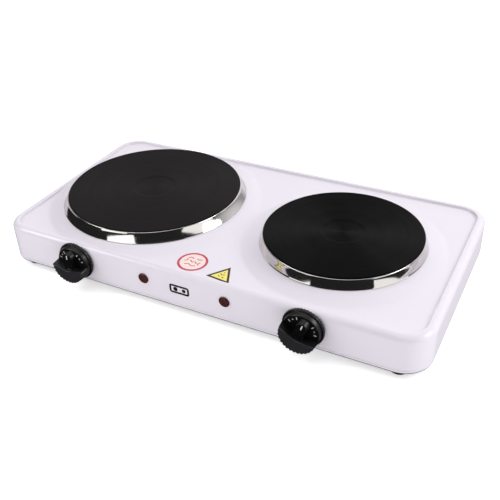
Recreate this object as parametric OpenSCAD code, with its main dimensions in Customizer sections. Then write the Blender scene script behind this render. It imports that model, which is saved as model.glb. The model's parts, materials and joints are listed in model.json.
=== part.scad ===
// Double electric hot plate: pressed steel housing, two cast-iron plates, two thermostat knobs.
// Millimetres. +Z up, -Y towards the control panel, z = 0 at the underside of the feet.

/* [Body] */
// Housing width, left to right
body_w = 452; // [430:1:480]
// Housing depth, front to back
body_d = 235; // [226:1:260]
// Height from the base plate's underside to the top of the rim
body_h = 39; // [37:0.5:50]
// Plan radius of the four corners
corner_r = 28; // [26:1:40]
// Rolled radius of the top outer edge
edge_r = 6; // [3:0.5:8]
// Width of the raised rim around the top panel
rim_w = 8.8; // [7.5:0.1:12]
// Depth of the top panel below the rim
panel_drop = 2.5; // [1.5:0.1:4]
// Sheet steel thickness of the housing
sheet_t = 1; // [0.8:0.1:1.5]
// Thickness of the base plate
base_t = 1.2; // [1:0.1:2]
// Height of the rubber feet
foot_h = 8; // [6:0.5:14]

/* [Hot plates] */
// Radius of the large plate
large_r = 92.5; // [85:0.5:93]
// Radius of the small plate
small_r = 77.5; // [70:0.5:85]
// Centre of the large plate, left of the middle
large_x = -108.5; // [-114:0.5:-106]
// Centre of the small plate, right of the middle
small_x = 109.5; // [100:0.5:116]
// Centre of the large plate, front to back
large_y = -2; // [-5:0.5:0]
// Centre of the small plate, front to back
small_y = -4.5; // [-5:0.5:0]
// Height of the plates above the rim
plate_rise = 13; // [11:0.5:16]
// Rise of the pressed seat under each plate
seat_rise = 4.5; // [3:0.5:5]

/* [Controls] */
// Left knob, from the middle
left_knob_x = -128; // [-140:1:-115]
// Right knob, from the middle
right_knob_x = 118; // [110:1:140]
// Height of the knob axes above the floor
knob_z = 30.5; // [29:0.5:31.5]
// Radius of the knob skirt
knob_r = 20; // [18:0.5:22]
// Reach of the knobs in front of the panel
knob_reach = 18; // [15:0.5:22]
// Right knob's stored turn, clockwise from off
right_turn = 20; // [0:5:90]
// Left indicator lamp, from the middle
left_lamp_x = -49; // [-60:1:-40]
// Right indicator lamp, from the middle
right_lamp_x = 39; // [30:1:60]
// Height of the lamps above the floor
lamp_z = 31; // [26:0.5:32]
// Radius of a lamp lens
lens_r = 5.5; // [5:0.5:6.5]

/* [Inlet] */
// Radius of the cord hole in the rear gland
cord_hole_r = 3.6; // [3:0.1:4.5]

/* [Hidden] */
$fn = 72;

// Colours
enamel = [0.93, 0.92, 0.95];
iron = [0.13, 0.13, 0.13];
steel = [0.75, 0.76, 0.78];
zinc = [0.62, 0.64, 0.66];
brass = [0.78, 0.62, 0.30];
stoneware = [0.90, 0.87, 0.80];
black = [0.05, 0.05, 0.05];
lamp_red = [0.30, 0.05, 0.07];

// Levels
base_z = foot_h;
skirt_z = base_z + base_t;
rim_z = base_z + body_h;
panel_z = rim_z - panel_drop;
seat_z = panel_z + seat_rise;
plate_z = rim_z + plate_rise;
core_x = body_w / 2 - corner_r;
core_y = body_d / 2 - corner_r;
front_y = -body_d / 2;
rear_y = body_d / 2;
wall_y = front_y + sheet_t;
eps = 0.01;

// Reach of what stands out of the body, which centres the part on its own origin
gland_flange_t = 2.5;
body_y = (knob_reach - gland_flange_t) / 2;

// Rim: the raised border between the panel and the rolled outer edge
rim_in = corner_r - rim_w;
rim_slope = 0.6;
panel_edge = rim_in - 4;

// Base
base_inset = 0.6;
foot_x = core_x + 2;
foot_y = core_y + 12.5;
foot_r = 9.5;
foot_taper = 1;
foot_recess_r = 4.6;
foot_web_t = 3;
screw_r = 2;
head_r = 4;
head_t = 2.2;
lug_x = 172;
lug_w = 14;
lug_d = 12;
lug_h = 6;
lug_hole_y = 6.5;
vent_l = 44;
vent_w = 3.5;
vent_pitch = 11;
vent_count = 7;

// Cast-iron plates
web_t = 6;
recess_d = 0.7;
plate_edge = 1.5;
plate_edge_w = 1.4;
side_draft = 0.9;
ring_t = 0.8;
shoulder_z = seat_z + ring_t;
skirt_out_in = 6;
skirt_w = 4;
skirt_bottom = panel_z + 2;
web_z = plate_z - web_t;
hub_r = 14;
stud_r = 3;
stud_sink = 4.5;
stud_tail = 10.5;
cover_t = 1;
cover_top = skirt_bottom + cover_t;
seat_hole_in = 4.5;
large_ring_foot = 6.5;
small_ring_foot = 4;
seat_flat = 1;
seat_out = 22;
large_recess_r = 22;
small_recess_r = 20;

// Heating coils
coil_w = 5;
coil_edge = skirt_out_in + skirt_w + coil_w / 2;
coil_z0 = cover_top + 1;
coil_z = coil_z0 + coil_w / 2;
lead_r = 1.2;
lead_gap = 0.05;
lead_bottom = skirt_bottom - 12.5;
coil_turns = 3;
large_coil_r0 = 32;
large_pitch = (large_r - large_coil_r0 - coil_edge - 6) / coil_turns;
small_coil_r0 = 28;
small_pitch = (small_r - small_coil_r0 - coil_edge - 4) / coil_turns;
collar_r = 2.5;
terminal_h = 8;
terminal_w = 12;
terminal_over = 6;

// Clamp bars
bar_w = 20;
bar_t = 2;
nut_r = 5.8;
nut_t = 5;

// Thermostats
bracket_t = 1.5;
bracket_w = 36;
bracket_h = 20;
bracket_arm_w = 12;
bracket_arm_l = 27;
bracket_screw_x = 13;
bracket_screw_r = 1.5;
bracket_head_r = 3;
bracket_head_t = 2;
thermo_w = 24;
thermo_l = 20;
thermo_h = 16;
thermo_y = wall_y + 12.5;
tab_x = 7;
tab_w = 6;
tab_t = 1;
tab_l = 8;
tab_end_y = thermo_y + thermo_l + tab_l;
bush_r = 4.5;
bush_nose = 1.5;
bush_flange_r = 7.5;
bush_flange_t = 1.5;
bush_end_y = wall_y + 8.5;
spindle_r = 3;
running_gap = 0.05;
spindle_flat = 2.4;
spindle_sink = 14;
push_gap = 0.02;
collar_gap = 0.3;

// Knobs, measured outward from the panel face
knob_gap = 1;
skirt_face = 4.5;
knob_hollow = 2.8;
knob_hollow_r = 17.5;
shelf_face = 9;
grip_r = 18.4;
grip_top = 1;
skirt_flutes = 40;
skirt_flute_r = 0.9;
grip_flutes = 13;
grip_flute_r = 1.5;
lobe_r = 5.5;
lobe_reach = 9.5;
lobe_face = 15;

// Lamps
lens_dome = 2.1;
lens_sphere_r = 12.3;
lens_body_r = 4.4;
lens_rib_r = 4.9;
lens_l = 12;
neon_r = 3.2;
neon_front = 1;
neon_l = 13.5;
neon_lead_r = 0.8;
neon_lead_x = 1.5;
neon_y = front_y + neon_front + neon_l;

// Inlet and terminal block
gland_flange_r = 9;
gland_neck_r = 6.5;
gland_rib_r = 7;
gland_l = 11.5;
block_w = 34;
block_l = 20;
block_h = 15;
block_y = rear_y - 43.5;
pole_x = 10;
pole_w = 6;
pole_l = 8;
pole_h = 3.4;
pole_z = skirt_z + 7.5;
block_screw_r = 2.4;
block_screw_d = 4.9;
earth_x = 40;
earth_y = rear_y - 33.5;
earth_head_t = 2.6;

// Wires
wire_r = 1.2;
wire_sides = 8;
wire_steps = 7;
pair_x = 1.4;
load_z = lead_bottom;

// Labels on the top panel
label_t = 0.15;
round_label_r = 15;
round_label_x = -9;
round_label_y = front_y + 26.5;
triangle_label_x = 27;
triangle_label_y = front_y + 18.5;
triangle_label_r = 15;
triangle_label_turn = -6.5;

// ---- Helpers ----

module place() {
    translate([0, body_y, 0]) children();
}

module rounded_rect(x, y, r) {
    square([2 * (x + r), 2 * y], center = true);
    square([2 * x, 2 * (y + r)], center = true);
    for (sx = [-1, 1])
        for (sy = [-1, 1])
            translate([sx * x, sy * y]) circle(r = r);
}

// Sweeps a profile (distance from the core rectangle, height) around the body
module around_body() {
    for (i = [0:3]) {
        along = i % 2 == 0 ? core_y : core_x;
        out = i % 2 == 0 ? core_x : core_y;
        rotate([0, 0, 90 * i]) translate([out, along, 0]) {
            rotate([90, 0, 0]) linear_extrude(height = 2 * along) children();
            rotate_extrude(angle = 90) children();
        }
    }
}

// Points something outward from the front panel at (x, z); local +Z is the way out
module on_front(x, z) {
    translate([x, front_y, z]) rotate([90, 0, 0]) children();
}

module ring(r_out, r_in, z0, z1) {
    translate([0, 0, z0]) difference() {
        cylinder(r = r_out, h = z1 - z0);
        translate([0, 0, -1]) cylinder(r = r_in, h = z1 - z0 + 2);
    }
}

module post(r, z0, z1) {
    translate([0, 0, z0]) cylinder(r = r, h = z1 - z0);
}

module box(x0, x1, y0, y1, z0, z1) {
    translate([x0, y0, z0]) cube([x1 - x0, y1 - y0, z1 - z0]);
}

function unit(v) = v / norm(v);

function spline(a, b, c, d, t) =
    0.5 * (2 * b + (c - a) * t + (2 * a - 5 * b + 4 * c - d) * t * t
        + (3 * b - a - 3 * c + d) * t * t * t);

function smooth_path(p, steps) = let (n = len(p)) concat(
    [for (i = [0:n - 2]) let (
            a = i == 0 ? 2 * p[0] - p[1] : p[i - 1],
            d = i == n - 2 ? 2 * p[n - 1] - p[n - 2] : p[i + 2]
        ) for (k = [0:steps - 1]) spline(a, p[i], p[i + 1], d, k / steps)],
    [p[n - 1]]);

function tangents(q) = let (n = len(q)) [for (i = [0:n - 1])
    unit(q[min(i + 1, n - 1)] - q[max(i - 1, 0)])];

function first_normal(t) = unit(cross(t, abs(t[2]) > 0.9 ? [1, 0, 0] : [0, 0, 1]));

function normals(t) = [for (i = 0, u = first_normal(t[0]); i < len(t);
    i = i + 1, u = i < len(t) ? unit(u - (u * t[i]) * t[i]) : u) u];

// A round wire swept along a smooth path through the given points
module wire(points, r) {
    q = smooth_path(points, wire_steps);
    t = tangents(q);
    u = normals(t);
    n = len(q);
    m = wire_sides;
    verts = [for (i = [0:n - 1]) let (v = cross(t[i], u[i])) for (k = [0:m - 1])
        q[i] + r * (cos(360 * k / m) * u[i] + sin(360 * k / m) * v)];
    sides = [for (i = [0:n - 2]) for (k = [0:m - 1]) each [
        [i * m + k, (i + 1) * m + (k + 1) % m, i * m + (k + 1) % m],
        [i * m + k, (i + 1) * m + k, (i + 1) * m + (k + 1) % m]]];
    caps = [[for (k = [0:m - 1]) k], [for (k = [m - 1:-1:0]) (n - 1) * m + k]];
    polyhedron(points = verts, faces = concat(sides, caps));
}

// ---- Housing ----

module rim_profile() {
    top = rim_z;
    centre = corner_r - edge_r;
    polygon([
        [panel_edge, panel_z - sheet_t], [panel_edge, panel_z],
        [rim_in - rim_slope, panel_z], [rim_in + rim_slope, top],
        [centre, top], [centre, top - sheet_t],
        [rim_in + rim_slope + sheet_t, top - sheet_t],
        [rim_in - rim_slope + sheet_t, panel_z - sheet_t]
    ]);
    translate([centre, top - edge_r]) intersection() {
        difference() {
            circle(r = edge_r);
            circle(r = edge_r - sheet_t);
        }
        square(edge_r);
    }
    translate([corner_r - sheet_t, skirt_z]) square([sheet_t, top - edge_r - skirt_z]);
}

// Raised seat pressed around a plate
module seat(r, ring_foot) {
    flat_r = r + ring_foot + seat_flat;
    foot = seat_foot_r(r);
    rotate_extrude() polygon([
        [r - seat_hole_in, seat_z - sheet_t], [r - seat_hole_in, seat_z],
        [flat_r, seat_z], [foot - 1, panel_z + 0.5], [foot, panel_z],
        [foot, panel_z - sheet_t], [foot - 1, panel_z - sheet_t],
        [flat_r - 0.3, seat_z - sheet_t]
    ]);
}

function seat_foot_r(r) = r + seat_out;

module at_large() {
    translate([large_x, large_y, 0]) children();
}

module at_small() {
    translate([small_x, small_y, 0]) children();
}

module lug(sx, sy) {
    wall = rear_y - sheet_t;
    translate([sx * lug_x, sy * (wall - lug_d / 2 + eps), skirt_z + lug_h / 2])
        cube([lug_w, lug_d, lug_h], center = true);
}

module panel_holes() {
    for (x = [left_knob_x, right_knob_x]) {
        on_front(x, knob_z) post(bush_r + 0.3, -2 * sheet_t, 1);
        for (s = [-1, 1])
            on_front(x + s * bracket_screw_x, knob_z)
                post(bracket_screw_r + 0.2, -2 * sheet_t, 1);
    }
    for (x = [left_lamp_x, right_lamp_x])
        on_front(x, lamp_z) post(lens_body_r, -2 * sheet_t, 1);
}

module top_housing() {
    color(enamel) place() difference() {
        union() {
            around_body() rim_profile();
            difference() {
                translate([0, 0, panel_z - sheet_t]) linear_extrude(height = sheet_t)
                    rounded_rect(core_x, core_y, panel_edge);
                at_large() post(seat_foot_r(large_r), panel_z - 3, panel_z + 3);
                at_small() post(seat_foot_r(small_r), panel_z - 3, panel_z + 3);
            }
            intersection() {
                union() {
                    at_large() seat(large_r, large_ring_foot);
                    at_small() seat(small_r, small_ring_foot);
                }
                translate([0, 0, panel_z - 4]) linear_extrude(height = 12)
                    rounded_rect(core_x, core_y, rim_in + sheet_t / 2);
            }
            for (sx = [-1, 1])
                for (sy = [-1, 1])
                    lug(sx, sy);
        }
        for (sx = [-1, 1])
            for (sy = [-1, 1])
                translate([sx * lug_x, sy * (rear_y - sheet_t - lug_hole_y), 0])
                    post(screw_r, skirt_z - 1, skirt_z + lug_h + 1);
        panel_holes();
        translate([0, rear_y - 2 * sheet_t, knob_z]) rotate([-90, 0, 0])
            cylinder(r = gland_neck_r, h = 3 * sheet_t);
    }
}

module vents() {
    for (i = [0:vent_count - 1])
        translate([(i - (vent_count - 1) / 2) * vent_pitch - vent_w / 2, -vent_l / 2, base_z - 1])
            cube([vent_w, vent_l, base_t + 2]);
}

module base_plate() {
    color(zinc) place() difference() {
        translate([0, 0, base_z]) linear_extrude(height = base_t)
            rounded_rect(core_x, core_y, corner_r - base_inset);
        at_large() vents();
        at_small() vents();
        for (sx = [-1, 1])
            for (sy = [-1, 1]) {
                translate([sx * foot_x, sy * foot_y, 0]) post(screw_r, base_z - 1, skirt_z + 1);
                translate([sx * lug_x, sy * (rear_y - sheet_t - lug_hole_y), 0])
                    post(screw_r, base_z - 1, skirt_z + 1);
            }
        translate([earth_x, earth_y, 0]) post(screw_r, base_z - 1, skirt_z + 1);
    }
}

module foot(sx, sy) {
    color(black) place() translate([sx * foot_x, sy * foot_y, 0]) difference() {
        cylinder(r1 = foot_r - foot_taper, r2 = foot_r, h = foot_h);
        post(foot_recess_r, -1, foot_h - foot_web_t);
        post(screw_r, 0, foot_h + 1);
    }
}

// A pan-head screw pointing up, its head's bearing face at z = 0
module screw_up(shank) {
    post(screw_r, -eps, shank);
    post(head_r, -head_t, 0);
}

module foot_screws() {
    color(zinc) place()
        for (sx = [-1, 1])
            for (sy = [-1, 1])
                translate([sx * foot_x, sy * foot_y, foot_h - foot_web_t])
                    screw_up(foot_web_t + base_t + 2);
}

module base_screws() {
    color(zinc) place()
        for (sx = [-1, 1])
            for (sy = [-1, 1])
                translate([sx * lug_x, sy * (rear_y - sheet_t - lug_hole_y), base_z])
                    screw_up(base_t + lug_h);
}

module inlet_gland() {
    color(black) place() translate([0, rear_y, knob_z]) rotate([-90, 0, 0]) difference() {
        union() {
            post(gland_flange_r, 0, gland_flange_t);
            post(gland_neck_r, -gland_l, gland_flange_t);
            post(gland_rib_r, -sheet_t - 1.6, -sheet_t);
        }
        post(cord_hole_r, -gland_l - 1, gland_flange_t + 1);
    }
}

module pole_cavity(x, y) {
    translate([x - pole_w / 2, y, pole_z - pole_h / 2]) cube([pole_w, pole_l, pole_h]);
}

module terminal_block() {
    color(stoneware) place() difference() {
        translate([-block_w / 2, block_y, skirt_z]) cube([block_w, block_l, block_h]);
        for (x = [-pole_x, 0, pole_x]) {
            pole_cavity(x, block_y - eps);
            pole_cavity(x, block_y + block_l - pole_l + eps);
            translate([x, block_y + block_l / 2, 0])
                post(block_screw_r, skirt_z + block_h - block_screw_d, skirt_z + block_h + 1);
        }
    }
}

module terminal_screws() {
    color(brass) place()
        for (x = [-pole_x, 0, pole_x])
            translate([x, block_y + block_l / 2, skirt_z + block_h - block_screw_d]) difference() {
                cylinder(r = block_screw_r, h = block_screw_d - 0.6);
                translate([-block_screw_r - 1, -0.4, block_screw_d - 1.6])
                    cube([2 * block_screw_r + 2, 0.8, 2]);
            }
}

module earth_screw() {
    color(brass) place() translate([earth_x, earth_y, skirt_z]) {
        post(screw_r, -base_t - 1, eps);
        post(head_r, 0, earth_head_t);
    }
}

// ---- Hot plates ----

module plate_casting(r, recess_r) {
    out = r - skirt_out_in;
    inner = out - skirt_w;
    color(iron) place() rotate_extrude() polygon(concat(
        [[0, plate_z - recess_d], [recess_r, plate_z - recess_d], [recess_r + 0.8, plate_z]],
        [for (a = [90:-15:0])
            [r - plate_edge_w * (1 - cos(a)), plate_z - plate_edge * (1 - sin(a))]],
        [[r - side_draft, shoulder_z], [out, shoulder_z], [out, skirt_bottom],
            [inner, skirt_bottom], [inner, web_z], [hub_r, web_z], [hub_r, cover_top],
            [stud_r, cover_top], [stud_r, cover_top + stud_sink], [0, cover_top + stud_sink]]
    ));
}

// Trim ring: flange under the plate, foot, conical wall and a lip turned in at the plate's edge
module trim_ring(r, ring_foot) {
    lip_z = plate_z - plate_edge + 0.6;
    color(steel) place() rotate_extrude() polygon([
        [r - skirt_out_in + 0.6, seat_z], [r + ring_foot, seat_z],
        [r + ring_foot, seat_z + ring_t], [r + ring_foot - 0.4, seat_z + 1.1],
        [r + 1.3, lip_z - 0.4], [r + 0.9, lip_z], [r + 0.2, lip_z], [r + 0.2, lip_z - 0.6],
        [r + 0.6, lip_z - 0.6], [r + ring_foot - 1, seat_z + ring_t],
        [r - skirt_out_in + 0.6, seat_z + ring_t]
    ]);
}

// Two-centre spiral of half circles; both ends lie on local +Y
module spiral(r0, pitch) {
    rotate([0, 0, 90])
        for (k = [0:coil_turns - 1]) {
            rotate_extrude(angle = 180) translate([r0 + k * pitch, 0]) children();
            translate([pitch / 2, 0, 0]) rotate([0, 0, 180])
                rotate_extrude(angle = 180) translate([r0 + (k + 0.5) * pitch, 0]) children();
        }
}

module at_leads(r0, pitch) {
    for (y = [r0, r0 + coil_turns * pitch])
        translate([0, y, 0]) children();
}

module coil(r0, pitch) {
    color(zinc) place() {
        spiral(r0, pitch) translate([0, coil_z]) rotate(22.5)
            circle(r = coil_w / 2 / cos(22.5), $fn = 8);
        at_leads(r0, pitch) post(lead_r, lead_bottom, coil_z);
    }
}

module insulation(r, r0, pitch) {
    color(stoneware) place() difference() {
        ring(r - skirt_out_in - skirt_w, hub_r, cover_top, web_z);
        spiral(r0, pitch) translate([-coil_w / 2, coil_z0])
            square([coil_w, web_z - coil_z0 + 1]);
        at_leads(r0, pitch) post(lead_r + lead_gap, cover_top - 1, coil_z);
    }
}

module cover(r, r0, pitch) {
    color(zinc) place() difference() {
        ring(r - skirt_out_in - skirt_w, stud_r + 0.2, skirt_bottom, cover_top);
        at_leads(r0, pitch) post(collar_r, skirt_bottom - 1, cover_top + 1);
    }
}

module lead_terminal(r0, pitch) {
    y0 = r0 - terminal_over;
    y1 = r0 + coil_turns * pitch + terminal_over;
    color(stoneware) place() difference() {
        union() {
            box(-terminal_w / 2, terminal_w / 2, y0, y1, skirt_bottom - terminal_h, skirt_bottom);
            at_leads(r0, pitch) post(collar_r, skirt_bottom - 1, cover_top);
        }
        at_leads(r0, pitch) post(lead_r + lead_gap, skirt_bottom - terminal_h - 1, cover_top + 1);
    }
}

module stud() {
    color(zinc) place() post(stud_r, skirt_bottom - stud_tail, cover_top + stud_sink);
}

// Strap that hooks under the seat on both sides and draws the plate down
module clamp_bar(r) {
    low = skirt_bottom - bar_t;
    high = seat_z - sheet_t - bar_t;
    bend0 = r - skirt_out_in + 0.3;
    bend1 = r - seat_hole_in + 0.6;
    tip = r + 2;
    color(zinc) place() difference() {
        translate([0, bar_w / 2, 0]) rotate([90, 0, 0]) linear_extrude(height = bar_w)
            polygon([
                [-tip, high], [-bend1, high], [-bend0, low], [bend0, low], [bend1, high],
                [tip, high], [tip, high + bar_t], [bend1, high + bar_t],
                [bend0, low + bar_t], [-bend0, low + bar_t], [-bend1, high + bar_t],
                [-tip, high + bar_t]
            ]);
        post(stud_r + 0.2, low - 1, low + bar_t + 1);
    }
}

module clamp_nut() {
    top = skirt_bottom - bar_t;
    color(zinc) place() translate([0, 0, top - nut_t]) difference() {
        cylinder(r = nut_r, h = nut_t, $fn = 6);
        translate([0, 0, -1]) cylinder(r = stud_r, h = nut_t + 2);
    }
}

// ---- Thermostats ----

module bracket(x) {
    back = wall_y + bracket_t;
    half = thermo_h / 2;
    color(zinc) place() difference() {
        union() {
            box(x - bracket_w / 2, x + bracket_w / 2, wall_y, back,
                knob_z - bracket_h / 2, knob_z + bracket_h / 2);
            for (s = [-1, 1])
                translate([x - bracket_arm_w / 2, wall_y,
                        knob_z + (s > 0 ? half : -half - bracket_t)])
                    cube([bracket_arm_w, bracket_arm_l, bracket_t]);
        }
        on_front(x, knob_z) post(bush_r, -6 * sheet_t, 1);
        for (s = [-1, 1])
            on_front(x + s * bracket_screw_x, knob_z) post(bracket_screw_r, -6 * sheet_t, 1);
    }
}

module bushing(x) {
    nose = bush_nose;
    flange = -sheet_t - bracket_t;
    tail = front_y - bush_end_y;
    color(brass) place() on_front(x, knob_z) difference() {
        union() {
            post(bush_r, flange, nose);
            post(bush_flange_r, flange - bush_flange_t, flange);
            post(bush_r + 0.5, tail, flange);
        }
        post(spindle_r + running_gap, tail - 1, nose + 1);
    }
}

module thermostat(x) {
    half = thermo_h / 2;
    color(stoneware) place() difference() {
        box(x - thermo_w / 2, x + thermo_w / 2, thermo_y, thermo_y + thermo_l,
            knob_z - half, knob_z + half);
        for (s = [-1, 1])
            translate([x + s * tab_x - tab_w / 2, thermo_y + thermo_l - 6, knob_z - tab_t / 2])
                cube([tab_w, 7, tab_t]);
        translate([x - thermo_w / 2 - 1, thermo_y + thermo_l / 2 - 2, knob_z + half - 3])
            cube([(thermo_w - bracket_arm_w) / 2, 4, 4]);
        translate([x + bracket_arm_w / 2 + 1, thermo_y + thermo_l / 2 - 2, knob_z + half - 3])
            cube([(thermo_w - bracket_arm_w) / 2, 4, 4]);
    }
}

module tab(x) {
    color(brass) place()
        box(x - tab_w / 2, x + tab_w / 2, thermo_y + thermo_l - 6, tab_end_y,
            knob_z - tab_t / 2, knob_z + tab_t / 2);
}

module d_shape(length, gap = 0) {
    intersection() {
        cylinder(r = spindle_r + gap, h = length);
        translate([-spindle_r - 1, -spindle_r - 1, -1])
            cube([2 * spindle_r + 2, spindle_r + 1 + spindle_flat + gap, length + 2]);
    }
}

module spindle(x, turn) {
    collar_front = front_y - bush_end_y - collar_gap;
    color(steel) place() on_front(x, knob_z) rotate([0, 0, -turn]) {
        post(spindle_r, collar_front - 2.6, knob_hollow);
        post(spindle_r + 1.5, collar_front - 1.2, collar_front);
        translate([0, 0, knob_hollow - eps]) d_shape(spindle_sink - knob_hollow + eps);
    }
}

module fluted_disc(r, count, flute_r, from, to) {
    difference() {
        circle(r = r);
        for (i = [0:count - 1]) {
            a = from + (to - from) * i / count;
            translate([(r + flute_r * 0.55) * cos(a), (r + flute_r * 0.55) * sin(a)])
                circle(r = flute_r);
        }
    }
}

module knob(x, turn) {
    skirt_in = knob_r - 2;
    color(black) place() on_front(x, knob_z) rotate([0, 0, -turn]) difference() {
        union() {
            translate([0, 0, knob_gap]) linear_extrude(height = skirt_face - knob_gap)
                fluted_disc(knob_r, skirt_flutes, skirt_flute_r, 0, 360);
            translate([0, 0, skirt_face - eps])
                cylinder(r1 = skirt_in, r2 = grip_r - 1.4, h = shelf_face - skirt_face);
            // Grip: the lower part of the disc, standing to the full reach
            intersection() {
                translate([0, 0, skirt_face - eps])
                    linear_extrude(height = knob_reach - skirt_face + eps)
                        fluted_disc(grip_r, grip_flutes, grip_flute_r, 190, 364);
                translate([-knob_r, grip_top - 2 * knob_r, 0])
                    cube([2 * knob_r, 2 * knob_r, knob_reach + 1]);
            }
            // Pointer lobe above the grip
            translate([0, lobe_reach, shelf_face - 1])
                cylinder(r1 = lobe_r, r2 = lobe_r - 0.8, h = lobe_face - shelf_face + 1);
            translate([-lobe_r + 0.4, 0, shelf_face - 1])
                cube([2 * lobe_r - 0.8, lobe_reach, lobe_face - shelf_face]);
        }
        translate([0, 0, knob_gap - 1]) cylinder(r = knob_hollow_r, h = knob_hollow - knob_gap + 1);
        translate([0, 0, knob_hollow - 1]) d_shape(spindle_sink - knob_hollow + 1, push_gap);
        // Dished front of the grip
        translate([0, -grip_r * 0.45, knob_reach + 58.8]) sphere(r = 60);
    }
}

module bracket_screws() {
    color(zinc) place()
        for (x = [left_knob_x, right_knob_x])
            for (s = [-1, 1])
                on_front(x + s * bracket_screw_x, knob_z) {
                    post(bracket_head_r, 0, bracket_head_t);
                    post(bracket_screw_r, -6, eps);
                }
}

// ---- Lamps ----

module lens(x) {
    color(lamp_red) place() on_front(x, lamp_z) difference() {
        union() {
            intersection() {
                translate([0, 0, lens_dome - lens_sphere_r]) sphere(r = lens_sphere_r);
                cylinder(r = lens_r, h = lens_dome + 1);
            }
            post(lens_body_r, -lens_l, eps);
            post(lens_rib_r, -sheet_t - 1.2, -sheet_t);
        }
        post(neon_r, -lens_l - 1, -neon_front);
    }
}

module neon(x, live_path, neutral_path) {
    color(lamp_red) place() {
        on_front(x, lamp_z) post(neon_r, -neon_front - neon_l, -neon_front);
        wire(live_path, neon_lead_r);
        wire(neutral_path, neon_lead_r);
    }
}

// ---- Labels ----

module round_label() {
    color([0.8, 0.1, 0.15]) place() translate([round_label_x, round_label_y, panel_z])
        cylinder(r = round_label_r, h = label_t);
}

module triangle_label() {
    color([0.95, 0.85, 0.1]) place() translate([triangle_label_x, triangle_label_y, panel_z])
        rotate([0, 0, 90 + triangle_label_turn]) cylinder(r = triangle_label_r, h = label_t, $fn = 3);
}

// ---- Wires ----

// Last points of a wire into the terminal block; side is where it comes from, dz its height before
function pole_end(x, side, dz) = [
    [x + 1.5 * side, block_y - 18, pole_z + dz], [x, block_y - 6, pole_z], [x, block_y + pole_l, pole_z]];
function tab_start(x) = [[x, tab_end_y + lead_gap, knob_z], [x, tab_end_y + 5, knob_z]];
function lead_end(x, y) = [[x, y, load_z - 6], [x, y, load_z]];

large_in = [large_x, large_y + large_coil_r0, 0];
large_out = [large_x, large_y + large_coil_r0 + coil_turns * large_pitch, 0];
small_in = [small_x, small_y + small_coil_r0, 0];
small_out = [small_x, small_y + small_coil_r0 + coil_turns * small_pitch, 0];

module live_wire(tab, mid, x, side) {
    color([0.45, 0.25, 0.12]) place() wire(concat(
        tab_start(tab), [[tab, tab_end_y + 14, knob_z - 5]], mid, pole_end(x, side, -3)), wire_r);
}

module load_wire(tab, lead) {
    color([0.15, 0.15, 0.15]) place() wire(concat(
        tab_start(tab), [[tab, tab_end_y + 16, knob_z - 3], [lead[0], lead[1] - 24, load_z - 8]],
        lead_end(lead[0], lead[1])), wire_r);
}

module neutral_wire(lead, mid, x, side) {
    color([0.15, 0.3, 0.65]) place() wire(concat(
        [[lead[0], lead[1], load_z], [lead[0], lead[1], load_z - 6]],
        mid, pole_end(x, side, 4)), wire_r);
}

module wire_earth() {
    color([0.35, 0.6, 0.2]) place() wire([
        [pole_x, block_y + pole_l, pole_z], [pole_x, block_y - 8, pole_z],
        [pole_x + 12, block_y - 14, skirt_z + 4], [earth_x - 5, block_y - 8, skirt_z + 2],
        [earth_x, earth_y - head_r - 3, skirt_z + wire_r + 0.2],
        [earth_x, earth_y - head_r, skirt_z + wire_r + 0.2]
    ], wire_r);
}

// side: the way from the tab towards the middle of the appliance
module panel_neon(x, tab, side, lead) {
    neon(x,
        [[x - side * neon_lead_x, neon_y, lamp_z], [x - side * neon_lead_x, neon_y + 8, lamp_z - 1],
            [tab + side * 48, tab_end_y - 5, knob_z - 5], [tab + side * 18, tab_end_y - 3, knob_z - 2],
            [tab + side * (tab_w / 2 + 6), tab_end_y - 3.5, knob_z],
            [tab + side * tab_w / 2, tab_end_y - 3.5, knob_z]],
        [[x + side * neon_lead_x, neon_y, lamp_z], [x + side * neon_lead_x, neon_y + 8, lamp_z - 2],
            [x + side * neon_lead_x, neon_y + 44, lamp_z - 10], [lead[0] + side * 30, lead[1] - 52, load_z - 14],
            [lead[0] + side * 6, lead[1] - 22, load_z - 10], [lead[0], lead[1] - 8, load_z - 1],
            [lead[0], lead[1] - lead_r, load_z + 2]]);
}

top_housing();
base_plate();
foot(-1, -1);  // foot_front_left
foot(1, -1);  // foot_front_right
foot(-1, 1);  // foot_rear_left
foot(1, 1);  // foot_rear_right
foot_screws();
base_screws();
inlet_gland();
terminal_block();
terminal_screws();
earth_screw();
at_large() plate_casting(large_r, large_recess_r);  // large_plate
at_large() trim_ring(large_r, large_ring_foot);  // large_trim_ring
at_large() coil(large_coil_r0, large_pitch);  // large_coil
at_large() insulation(large_r, large_coil_r0, large_pitch);  // large_insulation
at_large() cover(large_r, large_coil_r0, large_pitch);  // large_cover
at_large() lead_terminal(large_coil_r0, large_pitch);  // large_terminal
at_large() stud();  // large_stud
at_large() clamp_bar(large_r);  // large_clamp_bar
at_large() clamp_nut();  // large_clamp_nut
at_small() plate_casting(small_r, small_recess_r);  // small_plate
at_small() trim_ring(small_r, small_ring_foot);  // small_trim_ring
at_small() coil(small_coil_r0, small_pitch);  // small_coil
at_small() insulation(small_r, small_coil_r0, small_pitch);  // small_insulation
at_small() cover(small_r, small_coil_r0, small_pitch);  // small_cover
at_small() lead_terminal(small_coil_r0, small_pitch);  // small_terminal
at_small() stud();  // small_stud
at_small() clamp_bar(small_r);  // small_clamp_bar
at_small() clamp_nut();  // small_clamp_nut
bracket(left_knob_x);  // left_bracket
bushing(left_knob_x);  // left_bushing
thermostat(left_knob_x);  // left_thermostat
tab(left_knob_x - tab_x);  // left_input_tab
tab(left_knob_x + tab_x);  // left_output_tab
spindle(left_knob_x, 0);  // left_spindle
knob(left_knob_x, 0);  // left_knob
bracket(right_knob_x);  // right_bracket
bushing(right_knob_x);  // right_bushing
thermostat(right_knob_x);  // right_thermostat
tab(right_knob_x + tab_x);  // right_input_tab
tab(right_knob_x - tab_x);  // right_output_tab
spindle(right_knob_x, right_turn);  // right_spindle
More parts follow.
